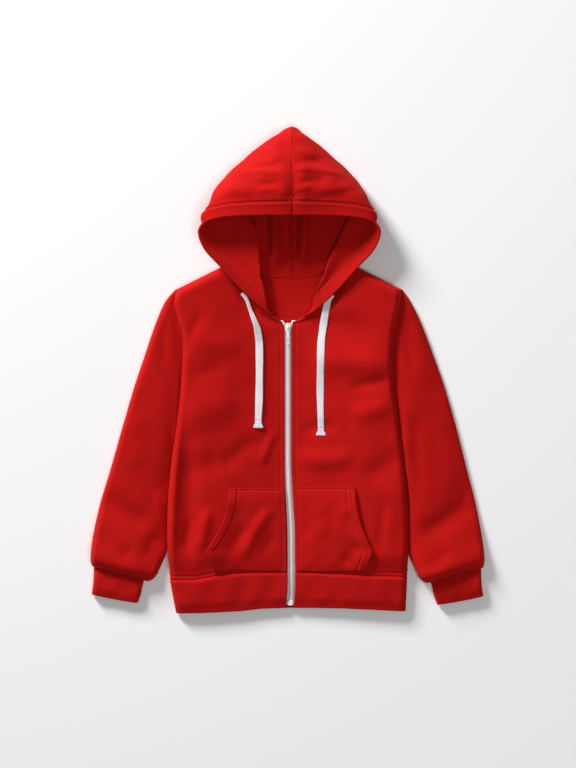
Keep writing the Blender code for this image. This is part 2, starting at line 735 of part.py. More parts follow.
cloth("back", back_grid(), FLEECE, RED)
cloth("hem_band", band_grid(), RIB, RED_RIB)
for side, word in ((-1, "right"), (1, "left")):
    cloth(f"front_{word}", front_grid(side), FLEECE, RED)
    cloth(f"pocket_{word}", pocket_grid(side), POCKET_CLOTH, RED)
    cloth(f"sleeve_{word}", sleeve_grid(side), FLEECE, RED, closed=True)
    cloth(f"cuff_{word}", cuff_grid(side), RIB, RED_RIB, closed=True)
    cloth(f"hood_{word}", hood_grid(side), FLEECE, RED)
    cloth(f"zip_tape_{word}", tape_grid(side), TAPE, WHITE_TAPE)

cord("drawstring_right", RIGHT_CORD, WHITE_CORD)
cord("drawstring_left", LEFT_CORD, WHITE_CORD)
cord_tip("drawstring_tip_right", RIGHT_CORD, WHITE_CORD)
cord_tip("drawstring_tip_left", LEFT_CORD, WHITE_CORD)

coil("zip_coil", WHITE_NYLON)
_, plate_top = slider("zip_slider", WHITE_METAL)
pull("zip_pull", plate_top, WHITE_METAL)
stop_low = TAPE_Z + TAPE / 2 + SEAM_GAP
for x, y, word in ((-5.8, 67.6, "right"), (5.5, 67.9, "left")):
    block = box(f"zip_stop_{word}", (x - 1.2, y - 1.3, stop_low), (x + 1.2, y + 1.3, stop_low + 2.0), WHITE_METAL)
    soften(block, 0.4)
end_x = float(zip_x(ZIP_END_Y + 3.6))
block = box(
    "zip_box",
    (end_x - 3.3, ZIP_END_Y - 1.0, stop_low),
    (end_x + 3.3, ZIP_END_Y + 7.2, stop_low + COIL_DEPTH + 0.4),
    WHITE_NYLON,
)
soften(block, 0.5)
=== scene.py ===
"""Looks of a child's zip-front hoodie in brushed fleece, lying on its back.

Frame: metres, +Z up. The back panel lies on z = 0, +Y runs from the hem to the hood and +X is
the wearer's left. Tables and sizes are in millimetres, and become metres when a mesh is made.
Each cloth piece is a grid of points on the middle of its cloth, shaped by folds and sewn lines,
then given a wall that thins to a rounded edge all round.
"""

import json
import logging
import math
from dataclasses import dataclass, field
from enum import Enum

import bpy
import numpy as np
from bpy.types import Material, Node, NodeSocket, NodeTree, Object
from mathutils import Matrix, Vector

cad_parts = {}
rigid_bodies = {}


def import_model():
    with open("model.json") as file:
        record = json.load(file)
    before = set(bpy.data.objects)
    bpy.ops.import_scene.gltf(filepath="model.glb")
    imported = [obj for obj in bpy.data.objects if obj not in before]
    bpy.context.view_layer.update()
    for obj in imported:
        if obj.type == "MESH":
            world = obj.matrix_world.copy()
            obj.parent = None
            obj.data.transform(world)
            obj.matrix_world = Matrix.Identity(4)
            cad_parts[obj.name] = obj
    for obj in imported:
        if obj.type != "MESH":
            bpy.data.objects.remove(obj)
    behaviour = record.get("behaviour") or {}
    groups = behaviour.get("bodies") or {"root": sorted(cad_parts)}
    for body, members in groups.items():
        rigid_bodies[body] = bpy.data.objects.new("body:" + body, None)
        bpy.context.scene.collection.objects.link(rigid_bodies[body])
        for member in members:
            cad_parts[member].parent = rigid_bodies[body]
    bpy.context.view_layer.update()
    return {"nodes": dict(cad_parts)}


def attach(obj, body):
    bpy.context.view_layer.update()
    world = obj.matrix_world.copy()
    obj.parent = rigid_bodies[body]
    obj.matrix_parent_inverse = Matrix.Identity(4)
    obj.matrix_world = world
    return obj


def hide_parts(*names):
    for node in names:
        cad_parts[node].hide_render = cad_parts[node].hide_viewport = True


Array = np.ndarray
LOG = logging.getLogger("kids_hoodie")
MM = 0.001

# thickness of each cloth
FLEECE = 2.4
RIB = 2.6
POCKET_CLOTH = 2.2
TAPE = 0.7

# height of the middle of each layer over the surface
BACK_Z = 1.2
FRONT_EDGE_Z = 3.9
FRONT_Z = 6.6
TAPE_Z = 4.4
COIL_Z = 6.15

# how far pockets and cords lie over the middle of the front, and the room left at a seam
POCKET_RISE = 2.6
CORD_RISE = 2.5
SEAM_GAP = 0.1

# samples of a curve that is read as a function, and of a line that distances are measured to
CURVE_SAMPLES = 400
LINE_SAMPLES = 90

# two four-cornered faces that close a ring of six points
HEXAGON = ((0, 1, 2, 3), (0, 3, 4, 5))

# edge of the body at the armholes and sides
BODY_SIDES = (
    # y, right x, left x
    (116.0, -160.4, 163.1),
    (98.0, -163.2, 161.4),
    (74.0, -157.4, 156.4),
    (56.0, -151.9, 153.0),
    (34.0, -151.2, 150.8),
    (6.0, -151.8, 149.9),
    (-22.0, -154.0, 151.5),
    (-50.0, -156.6, 155.6),
    (-85.0, -161.2, 161.4),
    (-133.0, -167.9, 167.2),
    (-187.0, -172.8, 171.9),
    (-245.0, -173.9, 174.0),
    (-303.0, -169.7, 171.4),
)
SHOULDER_Y = 116.0
ARMPIT_Y = -85.0
FOOT_Y = -300.0  # where the sides end

# seam between the panels and the hem band, and the band's lower edge
HEM = (
    # x, seam y, lower edge y
    (-172.0, -303.4, -352.6),
    (-135.0, -303.8, -352.2),
    (-107.0, -298.4, -351.0),
    (-72.0, -293.6, -349.4),
    (-40.0, -292.5, -345.8),
    (4.0, -292.0, -344.6),
    (44.0, -293.4, -344.8),
    (80.0, -295.6, -345.4),
    (106.0, -297.4, -346.6),
    (172.0, -299.2, -349.6),
)
HALF_HEM = 172.0
BAND_TAPER_RIGHT = 9.5
BAND_TAPER_LEFT = 2.4

# half of the neck opening, from the zip over the neck point to the middle of the back neck
NECKLINE = (
    # distance from the middle, y
    (9.0, 69.6),
    (30.0, 76.0),
    (49.0, 88.0),
    (62.0, 105.0),
    (70.0, 126.0),
    (74.0, 146.0),
    (75.0, 160.0),
    (68.0, 149.0),
    (54.0, 140.5),
    (36.0, 135.0),
    (18.0, 132.0),
    (0.0, 131.4),
)
NECK_POINT = 6  # the row of the neck point
NECK_END = 11  # the row of the middle of the back neck

# the hood's middle, and how far and over what distance its centre seam leans to the left
MIDDLE_X = 2.0
SEAM_LEAN = 4.4
SEAM_REACH = 25.0

# middle of the zip and half the width left open between the fronts
ZIP_LINE = (
    # y, middle x, half opening
    (74.0, -1.0, 9.0),
    (68.0, -0.6, 7.0),
    (60.0, 0.0, 5.4),
    (46.0, 0.0, 4.6),
    (-116.0, 0.0, 4.5),
    (-160.0, 0.8, 4.7),
    (-200.0, 2.8, 5.0),
    (-230.0, 4.4, 5.2),
    (-292.0, 4.9, 5.3),
    (-318.0, 4.7, 5.4),
    (-346.0, 2.6, 5.4),
)

# sections of one hood half, from the neck seam to the crown seam
HOOD = (
    # rim d, y, z | brow d, y, z | fold d, y, z | tuck d, y, z | floor d, y, z | seam y, z
    (38, 87, 13.5, 35, 99, 12.5, 42, 121, 14, 58, 146, 7, 40, 146, 2.4, 141, 1.2),
    (70, 116, 19, 54, 124, 13.5, 43, 137, 15.5, 57, 154, 8, 38, 154, 1.6, 150, 1.2),
    (101, 150, 24, 76, 152, 13.0, 44.5, 157, 15.5, 57, 166, 7, 36, 165, 1.2, 162, 1.2),
    (124, 176, 27, 96, 178, 12.5, 48, 182, 14, 60, 188, 5.5, 34, 186, 1.2, 182, 1.2),
    (131.5, 201, 30, 106, 204, 13, 54, 209, 12, 66, 214, 4.5, 36, 209, 1.2, 204, 1.2),
    (118, 214, 35, 124, 222, 25, 74, 231, 11, 80, 237, 4, 46, 235, 1.2, 228, 1.2),
    (95, 220, 40, 111.5, 241, 32, 108, 252, 14, 84, 255, 3, 42, 255, 1.2, 252, 1.2),
    (62, 222, 43, 80, 262, 39, 87, 284, 14, 66, 284, 3, 34, 283, 1.2, 282, 1.2),
    (32, 222.5, 45, 45, 272, 46, 46, 319, 16, 37, 316, 4, 20, 314, 1.2, 314, 1.2),
    (14, 222.5, 46, 20, 274, 50, 22, 330, 25, 16.5, 341.5, 12, 9, 345, 2.4, 338, 1.4),
    (0, 222.5, 46, 0, 274, 51, 0, 322, 34, 0, 346, 18, 0, 352, 10, 349, 4),
)
LEFT_FOLD_OUT = (1, 7, 13, 21, 28, 20, 0, 0, 0, 0, 0)  # the left inner fold, further out
CASING = 20.0  # its stitching's distance from the hood's front edge

# sleeve of the wearer's right: outer and inner end of each section, how far its middle bows
# towards the body, and the height of its upper layer over the surface
SLEEVE = (
    # outer x, y | inner x, y | bow | top z
    (-177.0, 98.0, -164.6, -96.0, 9.0, 9.0),
    (-191.0, 66.0, -167.6, -118.0, 6.0, 9.6),
    (-206.0, 22.0, -170.6, -142.0, 4.0, 9.4),
    (-222.0, -26.0, -173.2, -170.0, 2.0, 9.0),
    (-239.0, -84.0, -175.0, -200.0, 0.0, 9.0),
    (-256.0, -144.0, -175.6, -234.0, 0.0, 9.6),
    (-270.5, -192.0, -176.6, -262.0, 0.0, 10.0),
    (-281.0, -238.0, -184.6, -282.0, 0.0, 14.0),
    (-285.0, -268.0, -192.4, -298.0, 1.0, 17.6),
    (-284.0, -281.0, -202.0, -304.8, 1.5, 12.2),
    (-280.0, -285.2, -209.0, -303.0, 2.0, 5.8),
)
LEFT_SLEEVE_SHIFT = (-1.4, -2.6)  # of the left sleeve's cuff end from its mirror image
LEFT_SLEEVE_FULLER = 4.5  # further out in its middle

# cuff of the wearer's right: the same columns
CUFF = (
    (-280.2, -286.0, -209.2, -303.8, 2.0, 6.4),
    (-280.4, -300.0, -212.0, -313.0, 1.0, 9.6),
    (-281.6, -314.0, -214.5, -325.0, 0.0, 10.0),
    (-283.4, -325.4, -219.0, -337.4, -1.0, 7.6),
)

# slanted pocket opening of the wearer's right, from the top corner to the hem seam
POCKET_EDGE = (
    # distance from the middle, y
    (85.5, -171.4),
    (87.0, -190.8),
    (93.0, -214.6),
    (101.5, -233.5),
    (114.0, -254.6),
    (119.6, -262.0),
    (113.5, -277.0),
    (106.0, -289.5),
)
LEFT_POCKET_FLARE = 0.72  # the left opening slants less
LEFT_POCKET_SHIFT = (36.0, 1.2)

# drawcords, from where they leave the hood's edge to their tips
RIGHT_CORD = (
    # y, x, half width, twist from flat in degrees, lift
    (111.0, -66.6, 2.6, 20.0, 9.0),
    (102.0, -60.0, 2.8, 24.0, 6.6),
    (86.0, -54.2, 3.0, 30.0, 3.0),
    (73.0, -49.2, 3.9, 26.0, 1.6),
    (61.0, -44.8, 4.8, 18.0, 0.6),
    (47.0, -42.5, 5.3, 8.0, 0.0),
    (34.0, -41.4, 5.3, 0.0, 0.0),
    (-7.0, -41.3, 5.3, 0.0, 0.0),
    (-42.0, -41.8, 5.3, 0.0, 0.0),
    (-73.0, -42.9, 4.9, 0.0, 0.0),
)
LEFT_CORD = (
    # the same columns
    (109.0, 64.0, 3.8, 16.0, 10.0),
    (101.0, 58.4, 4.6, 14.0, 7.0),
    (88.0, 55.0, 5.2, 12.0, 1.2),
    (75.0, 52.9, 5.3, 4.0, 0.4),
    (56.0, 50.0, 5.3, 0.0, 0.0),
    (36.0, 47.8, 5.3, 0.0, 0.0),
    (-7.0, 46.9, 5.2, 0.0, 0.0),
    (-42.0, 46.8, 5.0, 0.0, 0.0),
    (-84.0, 47.8, 4.4, 0.0, 0.0),
)
CORD_DEPTH = 2.0
TIP_LENGTH = 11.0
TIP_WIDTH = 14.0


class Side(Enum):
    """Which half of the garment, from the wearer's point of view."""

    RIGHT = -1
    LEFT = 1

    @property
    def word(self) -> str:
        """The half's name as pieces carry it."""
        return self.name.lower()


class Edge(Enum):
    """An edge of a grid of points: the index that grows away from it, and whether it is that
    index's far end."""

    START = (0, False)
    END = (0, True)
    BOTTOM = (1, False)
    TOP = (1, True)


def smooth(rows: Array, at: Array) -> Array:
    """Points on the Catmull-Rom curve through the rows.

    Args:
        rows: one point, or one whole line of points, a row.
        at: places along the curve, from 0 to the number of rows less one.

    Returns:
        A point or line for each place.
    """
    rows = np.asarray(rows, float)
    last = len(rows) - 1
    padded = np.concatenate(([2 * rows[0] - rows[1]], rows, [2 * rows[-1] - rows[-2]]))
    at = np.clip(np.asarray(at, float), 0, last)
    i = np.minimum(at.astype(int), last - 1)
    t = (at - i).reshape((-1,) + (1,) * (rows.ndim - 1))
    a, b, c, d = padded[i], padded[i + 1], padded[i + 2], padded[i + 3]
    return 0.5 * (
        2 * b + (c - a) * t + (2 * a - 5 * b + 4 * c - d) * t**2
        + (3 * b - a - 3 * c + d) * t**3
    )


def column(table: tuple, key: int, value: int, at: Array) -> Array:
    """One column of a table as a smooth function of another.

    Args:
        table: rows of numbers.
        key: number of the column it is a function of.
        value: number of the column that is read.
        at: where it is read.

    Returns:
        A value for each place.
    """
    dense = smooth(table, np.linspace(0, len(table) - 1, CURVE_SAMPLES))
    order = np.argsort(dense[:, key])
    return np.interp(at, dense[order, key], dense[order, value])


def side_x(y: Array, side: Side) -> Array:
    """X of the body's edge at heights y up the body."""
    return column(BODY_SIDES, 0, 1 if side is Side.RIGHT else 2, y)


def hem_y(x: Array) -> Array:
    """Y of the hem seam."""
    seam_x, seam_y, _ = np.transpose(HEM)
    return np.interp(x, seam_x, seam_y)


def hem_edge_y(x: Array) -> Array:
    """Y of the hem band's lower edge."""
    edge_x, _, edge_y = np.transpose(HEM)
    return np.interp(x, edge_x, edge_y)


def zip_x(y: Array) -> Array:
    """X of the middle of the zip."""
    return column(ZIP_LINE, 0, 1, y)


def zip_half(y: Array) -> Array:
    """Half the width left open between the fronts."""
    return column(ZIP_LINE, 0, 2, y)


def from_middle(distance: Array, side: Side) -> Array:
    """X at a distance from the hood's middle, which leans towards the left at its seam."""
    distance = np.asarray(distance, float)
    return MIDDLE_X + SEAM_LEAN * np.exp(-distance / SEAM_REACH) + side.value * distance


def neckline(side: Side) -> Array:
    """The neck opening's edge on one side. In front, its distances are from the zip's line,
    which reaches the hood's middle at the neck point.

    Args:
        side: which half.

    Returns:
        Points in plan, from the zip to the middle of the back neck.
    """
    line = np.array(NECKLINE)
    x = from_middle(line[:, 0], side)
    front = np.arange(NECK_POINT + 1)
    x[front] = side.value * line[front, 0] + MIDDLE_X * front / NECK_POINT
    return np.column_stack((x, line[:, 1]))


def ease(t: Array) -> Array:
    """0 below 0, 1 above 1, and an S curve between."""
    t = np.clip(t, 0, 1)
    return t * t * (3 - 2 * t)


def round_off(t: Array) -> Array:
    """Quarter circle: 0 at 0, rising steeply at first, and level from 1 on."""
    return np.sqrt(1 - (1 - np.clip(t, 0, 1)) ** 2)


def unit(vectors: Array) -> Array:
    """The same directions, each with a length of 1."""
    return vectors / np.maximum(np.linalg.norm(vectors, axis=-1, keepdims=True), 1e-9)


def circle(count: int) -> Array:
    """Angles evenly spaced round a full turn."""
    return np.linspace(0, 2 * math.pi, count, endpoint=False)


def squared(wave: Array, power: float) -> Array:
    """A wave between -1 and 1, pushed out towards its two ends by a power below 1."""
    return np.sign(wave) * np.abs(wave) ** power


def bell(distance: Array, width: float) -> Array:
    """1 at distance 0, falling away on both sides as a bell curve."""
    return np.exp(-((distance / width) ** 2))


def spaced(length: float, step: float, lines: tuple = (), edge: float = 1.6) -> Array:
    """Shares along a length, even inside, and closer near both ends and beside sewn lines.

    Args:
        length: real length in millimetres.
        step: spacing inside.
        lines: distances from the start where a sewn line runs.
        edge: radius of the rounded edge at both ends.

    Returns:
        Growing shares from 0 to 1.
    """
    closest = 0.06
    near = np.array((0.0, 0.05, 0.18, 0.4, 0.7, 1.0)) * edge
    inside = np.linspace(edge, length - edge, max(3, int(length / step)))
    beside = [line + np.array((-2.4, -1.6, -0.8, 0.0, 0.8, 1.6, 2.4)) for line in lines]
    every = np.sort(np.concatenate([near, length - near, inside, *beside]))
    every = every[(every >= 0) & (every <= length)]
    keep = np.concatenate(([True], np.diff(every) > closest))
    shares = every[keep] / length
    shares[-1] = 1.0
    return shares


def coons(bottom: Array, top: Array, start: Array, end: Array, across: Array, up: Array) -> Array:
    """Grid between four edges, each blended into the next and the corners counted once.

    Args:
        bottom, top: edges that run across, sampled at the shares in across.
        start, end: edges that run up, sampled at the shares in up.
        across, up: shares of the grid's columns and rows.

    Returns:
        Points listed across first.
    """
    s, t = across[:, None, None], up[None, :, None]
    ruled = (1 - t) * bottom[:, None] + t * top[:, None]
    ruled = ruled + (1 - s) * start[None] + s * end[None]
    first = (1 - s) * ((1 - t) * bottom[0] + t * top[0])
    return ruled - first - s * ((1 - t) * bottom[-1] + t * top[-1])


def run_of(line: Array) -> Array:
    """Length run along a polyline at each of its points."""
    return np.concatenate(([0.0], np.cumsum(np.linalg.norm(np.diff(line, axis=0), axis=1))))


def read(rows: Array, run: Array, at: Array) -> Array:
    """Rows that are given at lengths run, read in between at other lengths."""
    return np.column_stack([np.interp(at, run, values) for values in rows.T])


def along(line: Array, shares: Array) -> Array:
    """Points of a polyline at shares of its whole length."""
    run = run_of(line)
    return read(line, run, shares * run[-1])


def away(x: Array, y: Array, line: Array) -> Array:
    """Distance in plan from points to the nearest sample of a line.

    Args:
        x, y: the points.
        line: a polyline in plan.

    Returns:
        A distance for each point.
    """
    line = along(line, np.linspace(0, 1, LINE_SAMPLES))
    gap = (x[..., None] - line[:, 0]) ** 2 + (y[..., None] - line[:, 1]) ** 2
    return np.sqrt(gap.min(axis=-1))


def sewn(distance: Array, at: float, depth: float, width: float = 1.5) -> Array:
    """Height of a stitched line: a bell-shaped groove with a low ridge on each side of it.

    Args:
        distance: how far each point is from an edge.
        at: how far from it the stitches run.
        depth: depth of the groove.
        width: its width.

    Returns:
        A height for each point, negative in the groove.
    """
    off = (distance - at) / width
    ridges = bell(off - 2.1, 1.0) + bell(off + 2.1, 1.0)
    return depth * (0.32 * ridges - bell(off, 1.0))


def ripple(x: Array, y: Array, size: float, height: float, seed: int) -> Array:
    """Slow uneven swell: eight plane waves near one wavelength, with seeded headings.

    Args:
        x, y: the points.
        size: the wavelength.
        height: how far the swell stands up, on average.
        seed: start of its random numbers.

    Returns:
        A height for each point.
    """
    waves = 8
    random = np.random.default_rng(seed)
    heading = random.uniform(0, 2 * math.pi, waves)
    number = 2 * math.pi / (size * random.uniform(0.7, 1.5, waves))
    phase = random.uniform(0, 2 * math.pi, waves)
    wave = (x[..., None] * np.cos(heading) + y[..., None] * np.sin(heading)) * number
    return height * np.sin(wave + phase).sum(axis=-1) / math.sqrt(waves)


@dataclass(frozen=True)
class Fold:
    """One given crease: a soft ridge, or a trough where its height is negative.

    Attributes:
        start, end: its ends in plan.
        width: distance over which it falls away to each side.
        height: its height in the middle.
        bow: how far its line bows out to the left of its heading.
        sharp: share of the width that its left flank takes.
    """

    start: tuple[float, float]
    end: tuple[float, float]
    width: float
    height: float
    bow: float = 0.0
    sharp: float = 1.0

    def at(self, x: Array, y: Array) -> Array:
        """A bell curve over the distance from the crease's bowed line, which dies away past
        the line's ends.

        Args:
            x, y: the points.

        Returns:
            A height for each point.
        """
        (x0, y0), (x1, y1) = self.start, self.end
        length = math.hypot(x1 - x0, y1 - y0)
        ax, ay = (x1 - x0) / length, (y1 - y0) / length
        t = ((x - x0) * ax + (y - y0) * ay) / length
        off = (y - y0) * ax - (x - x0) * ay - self.bow * 4 * t * (1 - t)
        width = np.where(off > 0, self.width * self.sharp, self.width)
        fade = np.exp(-2.0 * np.abs(2 * t - 1) ** 5)
        return self.height * fade * bell(off, width)


def folds_at(folds: tuple, x: Array, y: Array) -> Array:
    """Sum of the folds' heights at points."""
    return sum((fold.at(x, y) for fold in folds), np.zeros(np.shape(x)))


def make_mesh(name: str, points: Array, faces: Array, material: Material,
              uv: Array | None = None) -> Object:
    """A mesh object at the origin from points in millimetres and four-cornered faces.

    Args:
        name: the piece's name.
        points: one row a vertex.
        faces: four vertex numbers a row.
        material: its finish.
        uv: for each face, its four corners' texture places in metres.

    Returns:
        The new object, linked to the scene and smooth shaded.
    """
    mesh = bpy.data.meshes.new(name)
    mesh.vertices.add(len(points))
    mesh.vertices.foreach_set("co", (points * MM).astype(np.float32).ravel())
    mesh.loops.add(faces.size)
    mesh.loops.foreach_set("vertex_index", faces.astype(np.int32).ravel())
    mesh.polygons.add(len(faces))
    mesh.polygons.foreach_set("loop_start", np.arange(0, faces.size, 4, dtype=np.int32))
    mesh.update(calc_edges=True)
    mesh.polygons.foreach_set("use_smooth", np.ones(len(faces), bool))
    if uv is not None:
        layer = mesh.uv_layers.new(name="cloth")
        layer.data.foreach_set("uv", uv.astype(np.float32).ravel())
    mesh.update()
    mesh.materials.append(material)
    obj = bpy.data.objects.new(name, mesh)
    bpy.context.scene.collection.objects.link(obj)
    return obj


def corners(grid: Array) -> Array:
    """What a grid holds at the four corners of each of its cells, turned first index first.

    Args:
        grid: a number or a point at each place.

    Returns:
        One row a cell, with its four corners second.
    """
    around = (grid[:-1, :-1], grid[1:, :-1], grid[1:, 1:], grid[:-1, 1:])
    return np.stack(around, axis=2).reshape(-1, 4, *grid.shape[2:])


def wrapped(grid: Array, axis: int = 0) -> Array:
    """A grid with its first line repeated behind its last, so that it closes on itself."""
    return np.concatenate((grid, np.take(grid, [0], axis=axis)), axis=axis)


def run_along(grid: Array, axis: int) -> Array:
    """Length run along a grid's lines.

    Args:
        grid: points.
        axis: the index that grows along each line.

    Returns:
        For each point, the length from its line's first point.
    """
    step = np.linalg.norm(np.diff(grid, axis=axis), axis=2)
    zero = np.zeros_like(np.take(step, [0], axis=axis))
    return np.concatenate((zero, np.cumsum(step, axis=axis)), axis=axis)


@dataclass
class Cloth:
    """One cut piece: the middle of its cloth as a grid, its wall, and how it is pressed.

    Attributes:
        name: the CAD node it stands for.
        middle: grid of points, across first.
        outward: 1 where the grid's own normal points out of the garment, or -1.
        wall: thickness in millimetres, one number or one a point.
        closed: whether its last column joins its first.
        edge: radius of the rounded edges.
        press: how far the outer face stands off its even height, one a point.
        inner_press: the same for the inner face.
    """

    name: str
    middle: Array
    outward: int
    wall: Array
    closed: bool = False
    edge: float = 1.6
    press: Array | float = 0.0
    inner_press: Array | float = 0.0

    def distance(self, edge: Edge) -> Array:
        """Length along the cloth from one of its edges.

        Args:
            edge: the edge it is measured from.

        Returns:
            A length for each point.
        """
        axis, far = edge.value
        run = run_along(self.middle, axis)
        return np.take(run, [-1], axis=axis) - run if far else run

    def normals(self) -> Array:
        """The grid's two directions crossed.

        Returns:
            A unit normal for each point, out of the garment.
        """
        grid = self.middle
        if self.closed:
            grid = np.concatenate((grid[-2:], grid, grid[:2]))
        a, b = np.gradient(grid, axis=0), np.gradient(grid, axis=1)
        normal = np.cross(a, b)
        if self.closed:
            normal = normal[2:-2]
        return self.outward * unit(normal)

    def move_out(self, height: Array) -> None:
        """Shifts the whole cloth along its normals."""
        self.middle = self.middle + self.normals() * height[..., None]

    def halves(self) -> tuple[Array, Array]:
        """Half the wall, which thins to the edges as a quarter circle, with each face's press.

        Returns:
            Distances from the middle out to the outer face and in to the inner face.
        """
        thinnest, edge_share = 0.1, 0.12
        near = np.minimum(self.distance(Edge.BOTTOM), self.distance(Edge.TOP))
        if not self.closed:
            sides = np.minimum(self.distance(Edge.START), self.distance(Edge.END))
            near = np.minimum(near, sides)
        thin = edge_share + (1 - edge_share) * round_off(near / self.edge)
        half = np.asarray(self.wall) / 2 * thin
        outer = np.maximum(half + self.press * thin, thinnest)
        return outer, np.maximum(half + self.inner_press * thin, thinnest)

    def outer(self) -> Array:
        """Points of the outer face."""
        return self.middle + self.normals() * self.halves()[0][..., None]

    def inner(self) -> Array:
        """Points of the inner face."""
        return self.middle - self.normals() * self.halves()[1][..., None]

    def line(self, edge: Edge, distance: float, inside: bool = False) -> tuple[Array, Array]:
        """A line on a face at one distance from an edge, and the normals along it.

        Args:
            edge: the edge it runs beside.
            distance: how far from it, in millimetres.
            inside: whether it lies on the inner face.

        Returns:
            Points and their unit normals.
        """
        axis, far = edge.value
        run = self.distance(edge)
        face = self.inner() if inside else self.outer()
        normal = self.normals() * (-1 if inside else 1)
        if far:
            run, face, normal = (np.flip(v, axis=axis) for v in (run, face, normal))
        if axis == 1:
            run, face, normal = (np.swapaxes(v, 0, 1) for v in (run, face, normal))
        high = np.clip((run < distance).sum(axis=0), 1, len(run) - 1)
        lines = np.arange(run.shape[1])
        low, top = run[high - 1, lines], run[high, lines]
        t = ((distance - low) / np.maximum(top - low, 1e-9))[:, None]
        point = face[high - 1, lines] * (1 - t) + face[high, lines] * t
        return point, normal[high, lines]

    def build(self, material: Material) -> Object:
        """The closed mesh: outer face, inner face and a strip joining them along every edge.

        Args:
            material: its finish.

        Returns:
            The piece.
        """
        across, up = self.middle.shape[:2]
        outer, inner = self.outer(), self.inner()
        first, second = (outer, inner) if self.outward > 0 else (inner, outer)
        points = np.concatenate((first.reshape(-1, 3), second.reshape(-1, 3)))
        index = np.arange(across * up).reshape(across, up)
        u, v = run_along(self.middle, 0), run_along(self.middle, 1)
        if self.closed:
            last = np.linalg.norm(self.middle[0] - self.middle[-1], axis=1)
            index, u, v = wrapped(index), np.concatenate((u, u[-1:] + last)), wrapped(v)
        uv = np.dstack((u, v)) * MM
        shift = across * up
        rims = [(index[:, 0], uv[:, 0], True), (index[:, -1], uv[:, -1], False)]
        if not self.closed:
            rims += [(index[0], uv[0], False), (index[-1], uv[-1], True)]
        faces = [corners(index), corners(index + shift)[:, ::-1]]
        places = [corners(uv), corners(uv)[:, ::-1]]
        for ring, place, second_first in rims:
            a, b = ring[:-1], ring[1:]
            pa, pb = place[:-1], place[1:]
            low = (a + shift, b + shift, b, a) if second_first else (a, b, b + shift, a + shift)
            faces.append(np.stack(low, axis=-1))
            places.append(np.stack((pa, pb, pb, pa), axis=1))
        faces, places = np.concatenate(faces), np.concatenate(places)
        return make_mesh(f"{self.name}_cloth", points, faces, material, places)


def sweep(name: str, rings: Array, material: Material) -> Object:
    """A closed body through rings of points, its ends drawn in to their middles.

    Args:
        name: the piece's name.
        rings: rings along the body, each of the same number of points.
        material: its finish.

    Returns:
        The object, its faces pointing out.
    """
    first = rings[0] - rings[0].mean(axis=0)
    turn = np.cross(first, np.roll(first, -1, axis=0)).sum(axis=0)
    if turn @ (rings[1].mean(axis=0) - rings[0].mean(axis=0)) < 0:
        rings = rings[:, ::-1]
    start, end = rings[:1].mean(axis=1, keepdims=True), rings[-1:].mean(axis=1, keepdims=True)
    half_way, closed_up = 0.6, 0.02
    caps = [start + (rings[:1] - start) * share for share in (closed_up, half_way)]
    ends = [end + (rings[-1:] - end) * share for share in (half_way, closed_up)]
    rings = np.concatenate((*caps, rings, *ends))
    index = wrapped(np.arange(rings[..., 0].size).reshape(rings.shape[:2]), 1)
    closed = wrapped(rings, 1)
    u, v = run_along(closed, 1), run_along(closed, 0)
    v = np.broadcast_to(v.mean(axis=1, keepdims=True), v.shape)
    uv = np.dstack((u, v)) * MM
    faces, places = corners(index)[:, ::-1], corners(uv)[:, ::-1]
    return make_mesh(name, rings.reshape(-1, 3), faces, material, places)


def wear(obj: Object, slot: str, *nodes: str, body: str = "garment") -> Object:
    """Makes a piece ride on a body and stand for its CAD nodes, and reports it.

    Args:
        obj: the finished piece.
        slot: not used.
        nodes: CAD nodes it stands for.
        body: the body it moves with.

    Returns:
        The same piece.
    """
    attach(obj, body)
    if nodes:
        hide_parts(*nodes)
    LOG.info("%s: %d faces on %s", obj.name, len(obj.data.polygons), body)
    return obj


class Nodes:
    """A node tree being wired: adds nodes, and feeds their inputs with values or sockets."""

    def __init__(self, tree: NodeTree) -> None:
        """Keeps the tree."""
        self.tree = tree

    def feed(self, node: Node, inputs: dict) -> None:
        """Sets a node's inputs: a plain value is kept, and an output socket is linked.

        Args:
            node: the node.
            inputs: values or output sockets by input name or number.
        """
        for key, value in inputs.items():
            if isinstance(value, NodeSocket):
                self.tree.links.new(value, node.inputs[key])
            else:
                node.inputs[key].default_value = value

    def add(self, kind: str, inputs: dict | None = None, **settings: object) -> Node:
        """Adds a node.

        Args:
            kind: Blender's name of the node type.
            inputs: values or output sockets by input name or number.
            settings: the node's own properties.

        Returns:
            The new node.
        """
        node = self.tree.nodes.new(kind)
        for key, value in settings.items():
            setattr(node, key, value)
        self.feed(node, inputs or {})
        return node

    def math(self, operation: str, *values: object) -> NodeSocket:
        """The result of a Math node on numbers or sockets."""
        node = self.add("ShaderNodeMath", dict(enumerate(values)), operation=operation)
        return node.outputs[0]

    def noise(self, place: NodeSocket, scale: object, detail: float,
              roughness: float = 0.5) -> NodeSocket:
        """The value of a Noise node at a place."""
        inputs = {"Vector": place, "Scale": scale, "Detail": detail, "Roughness": roughness}
        return self.add("ShaderNodeTexNoise", inputs).outputs[0]

    def effect(self, group: NodeTree, **inputs: object) -> Node:
        """A shared group's node, with its inputs by name."""
        return self.add("ShaderNodeGroup", inputs, node_tree=group)


